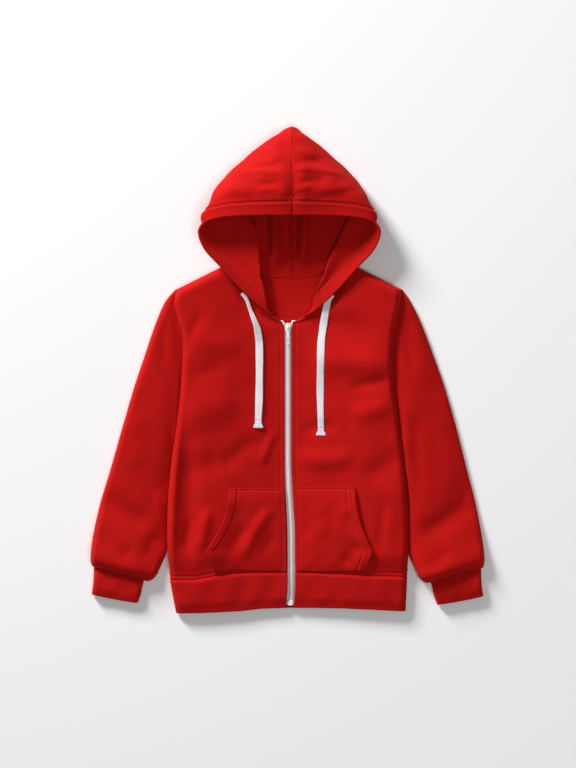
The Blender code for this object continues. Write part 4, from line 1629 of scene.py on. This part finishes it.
@dataclass
class Hood(Assembly):
    """Two hood halves, joined by the centre seam, with the drawcord's casing along the front.

    Attributes:
        casing_wall: thickness of the doubled cloth along the front edge.
        seam_dip, seam_width: depth and width of the dip along the centre seam.
        crown_folds: creases on the outside of the crown, in plan.
        floor_folds: creases of the inside, where the hood's back lies on the surface.
    """

    casing_wall: float = 3.8
    seam_dip: float = 2.3
    seam_width: float = 8.0
    crown_folds: tuple = (
        Fold((-60, 291), (-4, 299), 4.5, -2.2, bow=-2),
        Fold((-74, 286), (-6, 281), 4.0, 1.9, bow=2),
        Fold((-70, 272), (-6, 268), 7.5, -2.4, bow=-2),
        Fold((-44, 258), (-12, 262), 4.5, 1.6),
        Fold((-92, 262), (-52, 254), 7, 1.6),
        Fold((-30, 322), (-8, 306), 7, 1.6),
        Fold((8, 318), (40, 308), 6, 1.5),
        Fold((10, 301), (56, 303), 5, -2.2, bow=-1),
        Fold((6, 288), (84, 278), 3.6, 2.2, bow=4),
        Fold((16, 271), (58, 274), 7, -2.6),
        Fold((40, 258), (96, 266), 5, 1.4, bow=-2),
        Fold((8, 258), (34, 264), 4.5, 1.4),
    )
    floor_folds: tuple = (
        Fold((-20, 250), (-14, 96), 7.5, 15.0, bow=-1),
        Fold((7, 250), (5, 96), 2.8, 4.5),
        Fold((24, 250), (19, 96), 7.5, 15.0, bow=1),
        Fold((-44, 250), (-41, 110), 4.5, 8.0, bow=-2),
    )

    def half(self, side: Side) -> Cloth:
        """One half: the table's sections carried up from the neck seam to the crown, each a
        curve from the front edge over the brow, the outer fold and the floor to the seam.

        Args:
            side: which half.

        Returns:
            The cloth, from the front edge to the centre seam and from the neck to the crown.
        """
        near = np.array((0.0, 0.01, 0.03, 0.06, 0.1))
        across = np.concatenate((
            near, np.linspace(0.14, 1.2, 40), np.linspace(1.23, 4.94, 74),
            (4.965, 4.98, 4.99, 5.0),
        ))
        table = np.array([row[:15] + (0,) + row[15:] for row in HOOD], float)
        table = table.reshape(len(HOOD), 6, 3)
        if side is Side.LEFT:
            table[:, 2:4, 0] += np.array(LEFT_FOLD_OUT)[:, None] * (1.0, 0.6)
        sections = smooth(table.transpose(1, 0, 2), across)
        sections[..., 0] = from_middle(np.maximum(sections[..., 0], SEAM_GAP), side)
        at = across * NECK_END / across[-1]
        neck = smooth(neckline(side), at)
        neck_z = np.interp(at, (4, 5, 6, 7, 8), (FRONT_Z, 6.4, 4.6, 2.4, BACK_Z))
        seam = np.column_stack((neck, neck_z))
        beside = seam + (sections[:, 0] - seam) * 0.1
        stack = np.concatenate((seam[:, None], beside[:, None], sections), axis=1)
        rows = np.concatenate((
            (0, 0.1, 0.3, 0.6), np.linspace(1, 11.4, 118), (11.6, 11.75, 11.86, 11.93, 11.97, 12.0)
        ))
        grid = smooth(stack.transpose(1, 0, 2), rows).transpose(1, 0, 2)
        middle = MIDDLE_X + SEAM_LEAN
        inner = side.value * (grid[..., 0] - middle)
        grid[..., 0] = middle + side.value * np.maximum(inner, SEAM_GAP)
        place = np.broadcast_to(across[:, None], grid.shape[:2])
        x, y = grid[..., 0], grid[..., 1]
        floor = ease((place - 3.1) / 0.7) * ease((y - 132.0) / 60.0)
        fade = ease((rows - 1.0) / 3.0) * ease((10.8 - rows) / 3.0)
        grid[..., 2] += folds_at(self.floor_folds, x, y) * floor * fade
        cloth = Cloth(f"hood_{side.word}", grid, side.value, FLEECE)
        self.sculpt(cloth, place)
        return cloth

    def sculpt(self, cloth: Cloth, place: Array) -> None:
        """Adds the crown's creases, the centre seam's dip, and the casing with its stitching.

        Args:
            cloth: one half.
            place: each point's share of the way from the front edge to the seam.
        """
        x, y = cloth.middle[..., 0], cloth.middle[..., 1]
        rim = cloth.distance(Edge.START)
        seam = cloth.distance(Edge.TOP)
        crown = ease((2.9 - place) / 0.5)
        beyond = ease((rim - CASING) / 8.0)
        folds = folds_at(self.crown_folds, x, y) * beyond
        shape = (folds + ripple(x, y, 30.0, 0.35, 5) * beyond) * crown
        dip = self.seam_dip * bell(seam, self.seam_width) - 0.6 * bell(seam - 16.0, 7.0)
        shape = shape - dip * ease((1.9 - place) / 0.7) * (0.3 + 0.7 * beyond)
        cloth.move_out(shape * ease(seam / 0.6))
        doubled = ease((CASING - rim) / 1.5)
        cloth.wall = FLEECE + (self.casing_wall - FLEECE) * doubled
        cloth.edge = 1.0
        cloth.press = sewn(rim, CASING, 0.9, 1.7)
        cloth.inner_press = sewn(rim, CASING, 0.35, 1.7)

    def make(self) -> None:
        thread = Stitching("thread_hood")
        for side in Side:
            half = self.half(side)
            thread.sew(half.line(Edge.START, CASING), 6, 1)
            thread.sew(half.line(Edge.START, CASING, inside=True), 6, 1)
            obj = wear(half.build(self.wardrobe.fleece), "red_fleece", half.name)
        thread.build(self.wardrobe.thread)


@dataclass
class Pockets(Assembly):
    """Two patch pockets lying on the fronts, each with a slanted hand opening.

    Attributes:
        body: the fronts they lie on.
        hem: width of the turned and stitched opening edge.
        trim, zip_trim: distance of the stitching along the top and along the zip.
        width, height: the finished size, used to space the grid.
        foot_y, head_y: its lower and upper corner at the zip.
        bulge: how far its middle stands off the front.
        lip: how far the opening does.
        folds: creases of both pockets, in plan.
    """

    body: Body
    hem: float = 12.5
    trim: float = 2.8
    zip_trim: float = 5.6
    width: float = 100.0
    height: float = 120.0
    foot_y: float = -292.6
    head_y: float = -172.0
    bulge: float = 1.2
    lip: float = 2.2
    folds: tuple = (
        Fold((-64, -270), (-24, -200), 9, 3.6, bow=4),
        Fold((-88, -272), (-60, -222), 11, -2.6),
        Fold((-40, -272), (-18, -236), 8, -1.3),
        Fold((80, -284), (104, -248), 12, -3.0),
        Fold((28, -262), (56, -214), 14, 1.2),
        Fold((70, -236), (84, -198), 8, 1.0),
    )

    def pocket(self, side: Side) -> Cloth:
        """One pocket: the front's own height under it, moved out, with its own bulge, folds
        and an opening that lifts a little off the front.

        Args:
            side: which pocket.

        Returns:
            The cloth, from the zip side to the opening and from the hem seam to the top.
        """
        across = spaced(self.width, 1.15, (self.width - self.hem,))
        up = spaced(self.height, 1.35, (self.height - self.trim,))
        edge = along(smooth(POCKET_EDGE, np.linspace(0, len(POCKET_EDGE) - 1, 60))[::-1], up)
        if side is Side.LEFT:
            edge = edge * (LEFT_POCKET_FLARE, 1.0) + LEFT_POCKET_SHIFT
        sign = side.value
        outer = np.column_stack((sign * edge[:, 0], edge[:, 1]))
        higher = 2.0 if side is Side.LEFT else 0.0
        zip_y = self.foot_y + (self.head_y + higher - self.foot_y) * up
        inner = np.column_stack((zip_x(zip_y) + sign * (zip_half(zip_y) + 1.4), zip_y))
        bottom = inner[0] + (outer[0] - inner[0]) * across[:, None]
        bottom[:, 1] = hem_y(bottom[:, 0]) + 0.6
        inner[0, 1] = bottom[0, 1]
        outer[0] = bottom[-1]
        top = inner[-1] + (outer[-1] - inner[-1]) * across[:, None]
        flat = coons(bottom, top, inner, outer, across, up)
        x, y = flat[..., 0], flat[..., 1]
        grid = np.dstack((flat, self.body.top(x, y, side) + POCKET_RISE))
        cloth = Cloth(f"pocket_{side.word}", grid, sign, POCKET_CLOTH, edge=1.3)
        sewn_down = 1 - ease(cloth.distance(Edge.BOTTOM) / 2.2)
        cloth.middle[..., 2] -= (POCKET_RISE - 0.7) * sewn_down
        opening = cloth.distance(Edge.END)
        inside = ease(np.minimum(cloth.distance(Edge.BOTTOM), cloth.distance(Edge.TOP)) / 14.0)
        inside = inside * ease(cloth.distance(Edge.START) / 14.0)
        own = folds_at(self.folds, x, y) + self.bulge + ripple(x, y, 30.0, 0.25, 21 + sign)
        lip = self.lip * bell(opening, 16.0) * ease(up * 5.0) * ease((1 - up) * 5.0)
        cloth.middle[..., 2] += own * inside + lip
        cloth.wall = POCKET_CLOTH + 1.0 * ease((self.hem - opening) / 1.5)
        cloth.press = sewn(opening, self.hem, 0.6)
        top_line = sewn(cloth.distance(Edge.TOP), self.trim, 0.5, 1.2)
        zip_line = sewn(cloth.distance(Edge.START), self.zip_trim, 0.35)
        cloth.press = cloth.press + top_line + zip_line
        return cloth

    def make(self) -> None:
        thread = Stitching("thread_pockets")
        for side in Side:
            pocket = self.pocket(side)
            thread.sew(pocket.line(Edge.END, self.hem), 2, 3)
            thread.sew(pocket.line(Edge.TOP, self.trim), 4, 2)
            thread.sew(pocket.line(Edge.START, self.zip_trim), 2, 4)
            obj = wear(pocket.build(self.wardrobe.fleece), "red_fleece", pocket.name)
        thread.build(self.wardrobe.thread)


@dataclass
class Drawcords(Assembly):
    """Two flat woven cords lying on the fronts, each ending in a folded and stitched tip.

    Attributes:
        body: the fronts they lie on.
        around: points round a cord.
        count: sections along a cord.
    """

    body: Body
    around: int = 28
    count: int = 150

    def ring(self, centre: Array, across: Array, up: Array, width: Array, depth: Array) -> Array:
        """Rings of a flat cord: a squared oval that is a little fuller along its two edges.

        Args:
            centre, across, up: one row a section; unit directions of its width and depth.
            width, depth: half sizes, one a section.

        Returns:
            Points, sections first.
        """
        angle = circle(self.around)
        a = squared(np.cos(angle), 0.55)
        b = squared(np.sin(angle), 0.7) * (0.86 + 0.14 * np.abs(a) ** 3)
        return (
            centre[:, None] + across[:, None] * (a[None, :, None] * width[:, None, None])
            + up[:, None] * (b[None, :, None] * depth[:, None, None])
        )

    def frames(self, table: tuple, side: Side) -> tuple[Array, Array, Array, Array]:
        """A cord's plan from its table and its height from the front under it, turned by the
        table's twist.

        Args:
            table: the cord's table.
            side: which cord.

        Returns:
            Centres, directions of its width and depth, and half widths, one a section.
        """
        rows = smooth(table, np.linspace(0, len(table) - 1, self.count))
        y, x, half, twist, lift = rows.T
        turn = np.radians(np.maximum(twist, 0.0))
        rise = half * np.sin(turn) + CORD_DEPTH / 2 * (np.cos(turn) - 1) + lift * 0.4
        z = self.body.top(x, y, side) + CORD_RISE + np.maximum(rise, 0.0)
        centre = np.column_stack((x, y, z))
        heading = unit(np.gradient(centre, axis=0))
        level = unit(np.column_stack((heading[:, 1], -heading[:, 0], np.zeros(len(x)))))
        top = np.cross(level, heading)
        cos, sin = np.cos(turn)[:, None], np.sin(turn)[:, None]
        return centre, level * cos + top * sin, top * cos - level * sin, half

    def cord(self, side: Side) -> None:
        """Builds and dresses one cord and its tip, in place of their CAD nodes.

        Args:
            side: which cord.
        """
        table = RIGHT_CORD if side is Side.RIGHT else LEFT_CORD
        centre, across, up, half = self.frames(table, side)
        depth = np.full(len(half), CORD_DEPTH / 2)
        run = np.linspace(0, 1, self.count)
        half = half * (1 + 0.03 * np.sin(run * 31.0 + side.value))
        rings = self.ring(centre, across, up, half, depth)
        obj = sweep(f"cord_{side.word}", rings, self.wardrobe.cord)
        wear(obj, "white_cord", f"drawstring_{side.word}")
        tip = self.tip(centre[-1], half[-1], side)

    def tip(self, end: Array, half: float, side: Side) -> Object:
        """The cord's end, folded over and stitched down: a short flare, thicker than the cord,
        with its two corners drawn out.

        Args:
            end: the cord's last centre.
            half: its half width there.
            side: which cord.

        Returns:
            The tip.
        """
        share = np.concatenate((np.linspace(0, 0.9, 22), (0.94, 0.97, 0.99, 1.0)))
        flare = half + (TIP_WIDTH / 2 - half) * ease((share - 0.25) / 0.6)
        width = flare * (1 - 0.16 * np.clip((share - 0.9) / 0.1, 0, 1) ** 2)
        pinch = 0.45 * np.exp(-(((share - 0.42) / 0.07) ** 2))
        depth = CORD_DEPTH / 2 * (1.15 + 0.35 * ease(share * 4)) - pinch
        depth = depth * round_off((1.02 - share) / 0.14)
        centre = np.tile(end + (0.0, -SEAM_GAP, 0.35), (len(share), 1))
        centre[:, 1] -= TIP_LENGTH * share
        across = np.tile((1.0, 0.0, 0.0), (len(share), 1))
        up = np.tile((0.0, 0.0, 1.0), (len(share), 1))
        rings = self.ring(centre, across, up, width, depth)
        obj = sweep(f"cord_end_{side.word}", rings, self.wardrobe.cord)
        return wear(obj, "white_cord", f"drawstring_tip_{side.word}")

    def make(self) -> None:
        """Builds both cords."""
        for side in Side:
            self.cord(side)


@dataclass
class Zip(Assembly):
    """A separating zip: woven tapes, a coiled row of teeth, slider, pull, stops and box.

    Attributes:
        end_y: lower end of the tapes.
        slider_y, slider_length, slider_width, plate: the slider's middle, size and walls.
        bridge, bridge_width, bridge_depth: height of the arch and half its bar's section.
        pull_length, pull_tilt, pull_plate: the pull's length, tilt in degrees and thickness.
        pitch: spacing of the coil's turns.
        wire: half the thickness of the coil's wire.
        coil_width, coil_depth: size of the closed coil.
        room: gap between the slider and what runs through it.
    """

    end_y: float = -340.0
    slider_y: float = 61.0
    slider_length: float = 14.0
    slider_width: float = 8.2
    plate: float = 1.0
    bridge: float = 3.0
    bridge_width: float = 0.85
    bridge_depth: float = 0.42
    pull_length: float = 24.0
    pull_tilt: float = 3.0
    pull_plate: float = 0.9
    pitch: float = 1.3
    wire: float = 0.36
    coil_width: float = 5.2
    coil_depth: float = 2.2
    room: float = 0.3

    @property
    def over(self) -> float:
        """Height of the inside of the slider's upper plate."""
        return COIL_Z + self.coil_depth / 2 + self.room

    def tape(self, side: Side) -> Cloth:
        """One tape: a level strip beside the zip's line that parts above the slider.

        Args:
            side: which tape.

        Returns:
            The cloth, from beside the coil to under its front.
        """
        y = np.concatenate((np.linspace(self.end_y, 44.0, 200), np.linspace(46.0, 72.0, 30)))
        part = np.clip((y - 55.0) / 17.0, 0, 1) ** 1.4
        inner, outer = 0.4 + part * 6.2, 13.0 + part * 2.0
        share = spaced(12.6, 0.7, (), 0.5)[:, None]
        x = zip_x(y) + side.value * (inner + (outer - inner) * share)
        raised = 0.25 * bell(share - 0.18, 0.07)
        z = TAPE_Z + np.broadcast_to(raised, x.shape)
        grid = np.dstack((x, np.broadcast_to(y, x.shape), z))
        return Cloth(f"zip_tape_{side.word}", grid, side.value, TAPE, edge=0.4)

    def coil(self, material: Material) -> Object:
        """The closed teeth: two flattened spirals of round wire, half a turn apart, whose inner
        ends lock past the middle. Each wire is a circle carried along its spiral.

        Args:
            material: the wire's finish.

        Returns:
            Both spirals as one piece.
        """
        low, high, locked, around = self.end_y + 7.6, self.slider_y - 2.0, 0.5, 6
        turns = (high - low) / self.pitch
        t = np.linspace(0, turns * 2 * math.pi, int(turns * 12))
        angle = circle(around)[None, :, None]
        reach = (self.coil_width / 2 - self.wire + locked) / 2
        rings = []
        for side in Side:
            ahead_by = 0.0 if side is Side.RIGHT else self.pitch / 2
            y = low + t / (2 * math.pi) * self.pitch + ahead_by
            x = zip_x(y) + side.value * (reach * (1 + squared(np.cos(t), 0.8)) - locked)
            z = COIL_Z + np.sin(t) * (self.coil_depth / 2 - self.wire)
            path = np.column_stack((x, np.minimum(y, high), z))
            ahead = unit(np.gradient(path, axis=0))
            out = unit(np.cross(ahead, (0.0, 1.0, 0.0)))
            up = np.cross(out, ahead)
            ring = out[:, None] * np.cos(angle) + up[:, None] * np.sin(angle)
            rings.append(path[:, None] + ring * self.wire)
        index = wrapped(np.arange(len(t) * around).reshape(len(t), around), 1)
        ends = [index[0][list(half)] for half in HEXAGON]
        ends += [index[-1][list(half[::-1])] for half in HEXAGON]
        one = np.concatenate((corners(index), ends))
        points = np.concatenate([ring.reshape(-1, 3) for ring in rings])
        faces = np.concatenate((one, one + len(t) * around))
        return make_mesh("coil_wire", points, faces, material)

    @staticmethod
    def slab(outline: Array, low: float, high: float, soft: float) -> Array:
        """Rings of a flat plate with softened edges: its outline drawn in at both faces.

        Args:
            outline: points in plan, round the plate.
            low, high: heights of its faces.
            soft: radius of its edges.

        Returns:
            Rings from the lower face to the upper.
        """
        angle = np.linspace(0, math.pi / 2, 4)
        below, above = soft * (1 - np.cos(angle)), soft * (1 - np.sin(angle))
        inset, height = np.concatenate((above, below)), np.concatenate((low + below, high - above))
        way = unit(outline - outline.mean(axis=0))
        rings = outline[None] - way[None] * inset[:, None, None]
        z = np.broadcast_to(height[:, None, None], (*rings.shape[:2], 1))
        return np.concatenate((rings, z), axis=2)

    @staticmethod
    def oval(width: Array, length: float, count: int = 40, power: float = 0.5) -> Array:
        """A squared oval about the origin.

        Args:
            width: its widths at its lower and upper end.
            length: its length along Y.
            count: points round it.
            power: how square it is; 1 is a plain oval.

        Returns:
            Points in plan.
        """
        angle = circle(count)
        y = squared(np.sin(angle), power) * length / 2
        wide = np.interp(y, (-length / 2, length / 2), width)
        return np.column_stack((squared(np.cos(angle), power) * wide / 2, y))

    def slider(self) -> None:
        """Slider: two plates wider at the top, side flanges, and an arched bridge for the pull,
        an oval carried along a half circle. Its parts are joined into one piece.
        """
        over, under = self.over, TAPE_Z - TAPE / 2 - self.room
        place = np.array((float(zip_x(self.slider_y)), self.slider_y))
        narrow, wide = self.slider_width - 1.6, self.slider_width
        upper = self.oval((narrow, wide), self.slider_length)
        lower = self.oval((narrow - 1.0, wide - 1.0), self.slider_length - 0.6)
        plates = {
            # outline, low, high, softness
            "slider_top": (upper, over, over + self.plate, 0.35),
            "slider_under": (lower, under - self.plate, under, 0.35),
        }
        for side in Side:
            wall = self.oval((1.0, 1.1), self.slider_length - 3.0, 20)
            lean = np.interp(wall[:, 1], (-5.5, 5.5), (narrow / 2 - 0.6, wide / 2 - 0.7))
            wall[:, 0] += side.value * lean
            flange = (wall, TAPE_Z + TAPE / 2 + self.room, over + 0.4, 0.2)
            plates[f"slider_flange_{side.word}"] = flange
        post = self.oval((1.6, 1.8), 3.4, 20) + (0.0, 4.7)
        plates["slider_post"] = (post, under - 0.4, over + 0.4, 0.2)
        parts = [
            sweep(name, self.slab(outline + place, low, high, soft), self.wardrobe.enamel)
            for name, (outline, low, high, soft) in plates.items()
        ]
        t = np.linspace(0, math.pi, 22)
        z = over + self.plate - 0.5 + self.bridge * np.sin(t) ** 0.7
        path = np.column_stack((np.full(len(t), place[0]), place[1] - 2.9 * np.cos(t), z))
        across = np.tile((1.0, 0.0, 0.0), (len(t), 1))
        out = np.cross(across, unit(np.gradient(path, axis=0)))
        angle = circle(12)[None, :, None]
        ring = across[:, None] * np.cos(angle) * self.bridge_width
        ring = ring + out[:, None] * np.sin(angle) * self.bridge_depth
        parts.append(sweep("slider_bridge", path[:, None] + ring, self.wardrobe.enamel))
        wear(join(parts, "zip_slider_enamel"), "white_enamel", "zip_slider")

    def pull(self) -> None:
        """Pull tab: a ring round the bridge and a slotted tab below it, tilted to rest on the
        coil. Each is a plate with a hole: a squared oval section carried from its outline to
        the hole's and back.
        """
        around, section = 44, circle(12)
        z = self.over + self.plate + 0.85
        hinge = np.array((float(zip_x(self.slider_y)), self.slider_y, z))
        share = (0.5 - 0.5 * squared(np.cos(section), 0.35))[None, :, None]
        height = squared(np.sin(section), 0.5) * self.pull_plate / 2
        tilt = math.radians(self.pull_tilt)
        spans = (
            # name, low, high, width low, width high, hole low, hole high, hole width
            ("pull_eye", -6.4, 0.6, 3.6, 4.6, -3.9, -0.55, 2.2),
            ("pull_tab", -self.pull_length, -5.2, 5.0, 3.4, -21.6, -15.0, 1.8),
        )
        parts = []
        for name, low, high, w0, w1, hole_low, hole_high, hole_width in spans:
            outline = self.oval((w0, w1), high - low, around, 0.42)
            hole = self.oval((hole_width, hole_width), hole_high - hole_low, around, 0.6)
            outline[:, 1] += (low + high) / 2
            hole[:, 1] += (hole_low + hole_high) / 2
            x, y = np.moveaxis(outline[:, None] * (1 - share) + hole[:, None] * share, 2, 0)
            tilted_y = y * math.cos(tilt) - height * math.sin(tilt)
            tilted_z = y * math.sin(tilt) + height * math.cos(tilt)
            points = np.dstack((x, tilted_y, tilted_z)) + hinge
            index = wrapped(wrapped(np.arange(x.size).reshape(x.shape)), 1)
            faces = corners(index)[:, ::-1]
            parts.append(make_mesh(name, points.reshape(-1, 3), faces, self.wardrobe.enamel))
        wear(join(parts, "zip_pull_enamel"), "white_enamel", "zip_pull", body="pull_tab")

    def make(self, nodes: dict) -> None:
        """Builds and dresses the zip; stops and box keep their CAD shape in their finish.

        Args:
            nodes: the CAD nodes by name.
        """
        for side in Side:
            tape = self.tape(side)
            obj = wear(tape.build(self.wardrobe.tape), "white_tape", tape.name)
        wear(self.coil(self.wardrobe.nylon), "white_nylon", "zip_coil")
        self.slider()
        self.pull()
        for name in ("zip_stop_right", "zip_stop_left", "zip_box"):
            mesh = nodes[name].data
            mesh.materials.clear()
            finish = self.wardrobe.nylon if name == "zip_box" else self.wardrobe.enamel
            mesh.materials.append(finish)
            LOG.info("%s keeps its CAD shape", name)


def join(parts: list, name: str) -> Object:
    """One object of several that share a material, their points and faces laid end to end.

    Args:
        parts: the objects, which are removed.
        name: the new piece's name.

    Returns:
        The joined piece.
    """
    points, faces, base = [], [], 0
    for part in parts:
        mesh = part.data
        co = np.zeros(len(mesh.vertices) * 3, np.float32)
        mesh.vertices.foreach_get("co", co)
        corner = np.zeros(len(mesh.loops), np.int32)
        mesh.loops.foreach_get("vertex_index", corner)
        points.append(co.reshape(-1, 3) / MM)
        faces.append(corner.reshape(-1, 4) + base)
        base += len(mesh.vertices)
    material = parts[0].data.materials[0]
    obj = make_mesh(name, np.concatenate(points), np.concatenate(faces), material)
    for part in parts:
        bpy.data.objects.remove(part)
    return obj


@dataclass
class Studio:
    """Pale floor, soft lights and a camera straight over the garment.

    Attributes:
        distance: the camera's height in metres.
        frame_height: length of the surface that the picture shows, in metres.
        centre_y: the picture's middle up the garment, in metres.
        surrounding: strength of the even light from all round.
        floor_reach: half the floor's size in metres.
    """

    distance: float = 6.0
    frame_height: float = 1.1136
    centre_y: float = -0.0203
    surrounding: float = 0.16
    floor_reach: float = 40.0

    def camera(self) -> None:
        """Makes the camera, looking straight down with +Y up the picture."""
        data = bpy.data.cameras.new("camera")
        data.sensor_width = 36.0
        data.lens = data.sensor_width * self.distance / self.frame_height
        data.clip_end = 50.0
        camera = bpy.data.objects.new("camera", data)
        camera.location = (0.0, self.centre_y, self.distance)
        bpy.context.scene.collection.objects.link(camera)
        bpy.context.scene.camera = camera

    def light(self, name: str, place: tuple, aim: tuple, size: float, power: float) -> None:
        """One square area light, turned to face a point.

        Args:
            name: its name.
            place, aim: where it is and the point it faces, in metres.
            size: its side in metres.
            power: its power in watts.
        """
        data = bpy.data.lights.new(name, "AREA")
        data.size = size
        data.energy = power
        lamp = bpy.data.objects.new(name, data)
        lamp.location = place
        lamp.rotation_euler = (Vector(aim) - Vector(place)).to_track_quat("-Z", "Y").to_euler()
        bpy.context.scene.collection.objects.link(lamp)

    def make(self) -> None:
        """Makes the floor, the lights and the surrounding light."""
        scene = bpy.context.scene
        scene.view_settings.view_transform = "Standard"
        world = bpy.data.worlds.new("studio")
        world.use_nodes = True
        sky = {"Color": (1.0, 1.0, 1.0, 1.0), "Strength": self.surrounding}
        Nodes(world.node_tree).feed(world.node_tree.nodes["Background"], sky)
        scene.world = world
        self.light("key", (-2.75, 3.65, 1.7), (0.0, 0.0, 0.0), 1.3, 385.0)
        self.light("overhead", (0.7, -0.9, 3.1), (0.0, 0.0, 0.0), 1.8, 29.0)
        corner = np.array(((-1, -1), (1, -1), (1, 1), (-1, 1))) * self.floor_reach / MM
        points = np.column_stack((corner, np.full(4, -0.4)))
        finish = Finish("pale_floor", (0.95, 0.95, 0.955), 0.9).start()[0]
        make_mesh("floor", points, np.array([(0, 1, 2, 3)]), finish)


def clear_scene() -> None:
    """Removes whatever the scene held before."""
    for old in list(bpy.data.objects):
        bpy.data.objects.remove(old)


def main() -> None:
    """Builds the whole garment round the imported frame, piece by piece."""
    logging.basicConfig(level=logging.INFO, format="%(name)s: %(message)s")
    clear_scene()
    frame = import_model()
    studio = Studio()
    studio.camera()
    wardrobe = Wardrobe()
    body = Body(wardrobe)
    Drawcords(wardrobe, body).make()
    body.make()
    Sleeves(wardrobe, body).make()
    Hood(wardrobe).make()
    Pockets(wardrobe, body).make()
    Zip(wardrobe).make(frame["nodes"])
    studio.make()
    LOG.info("size written")


if __name__ == "__main__":
    main()
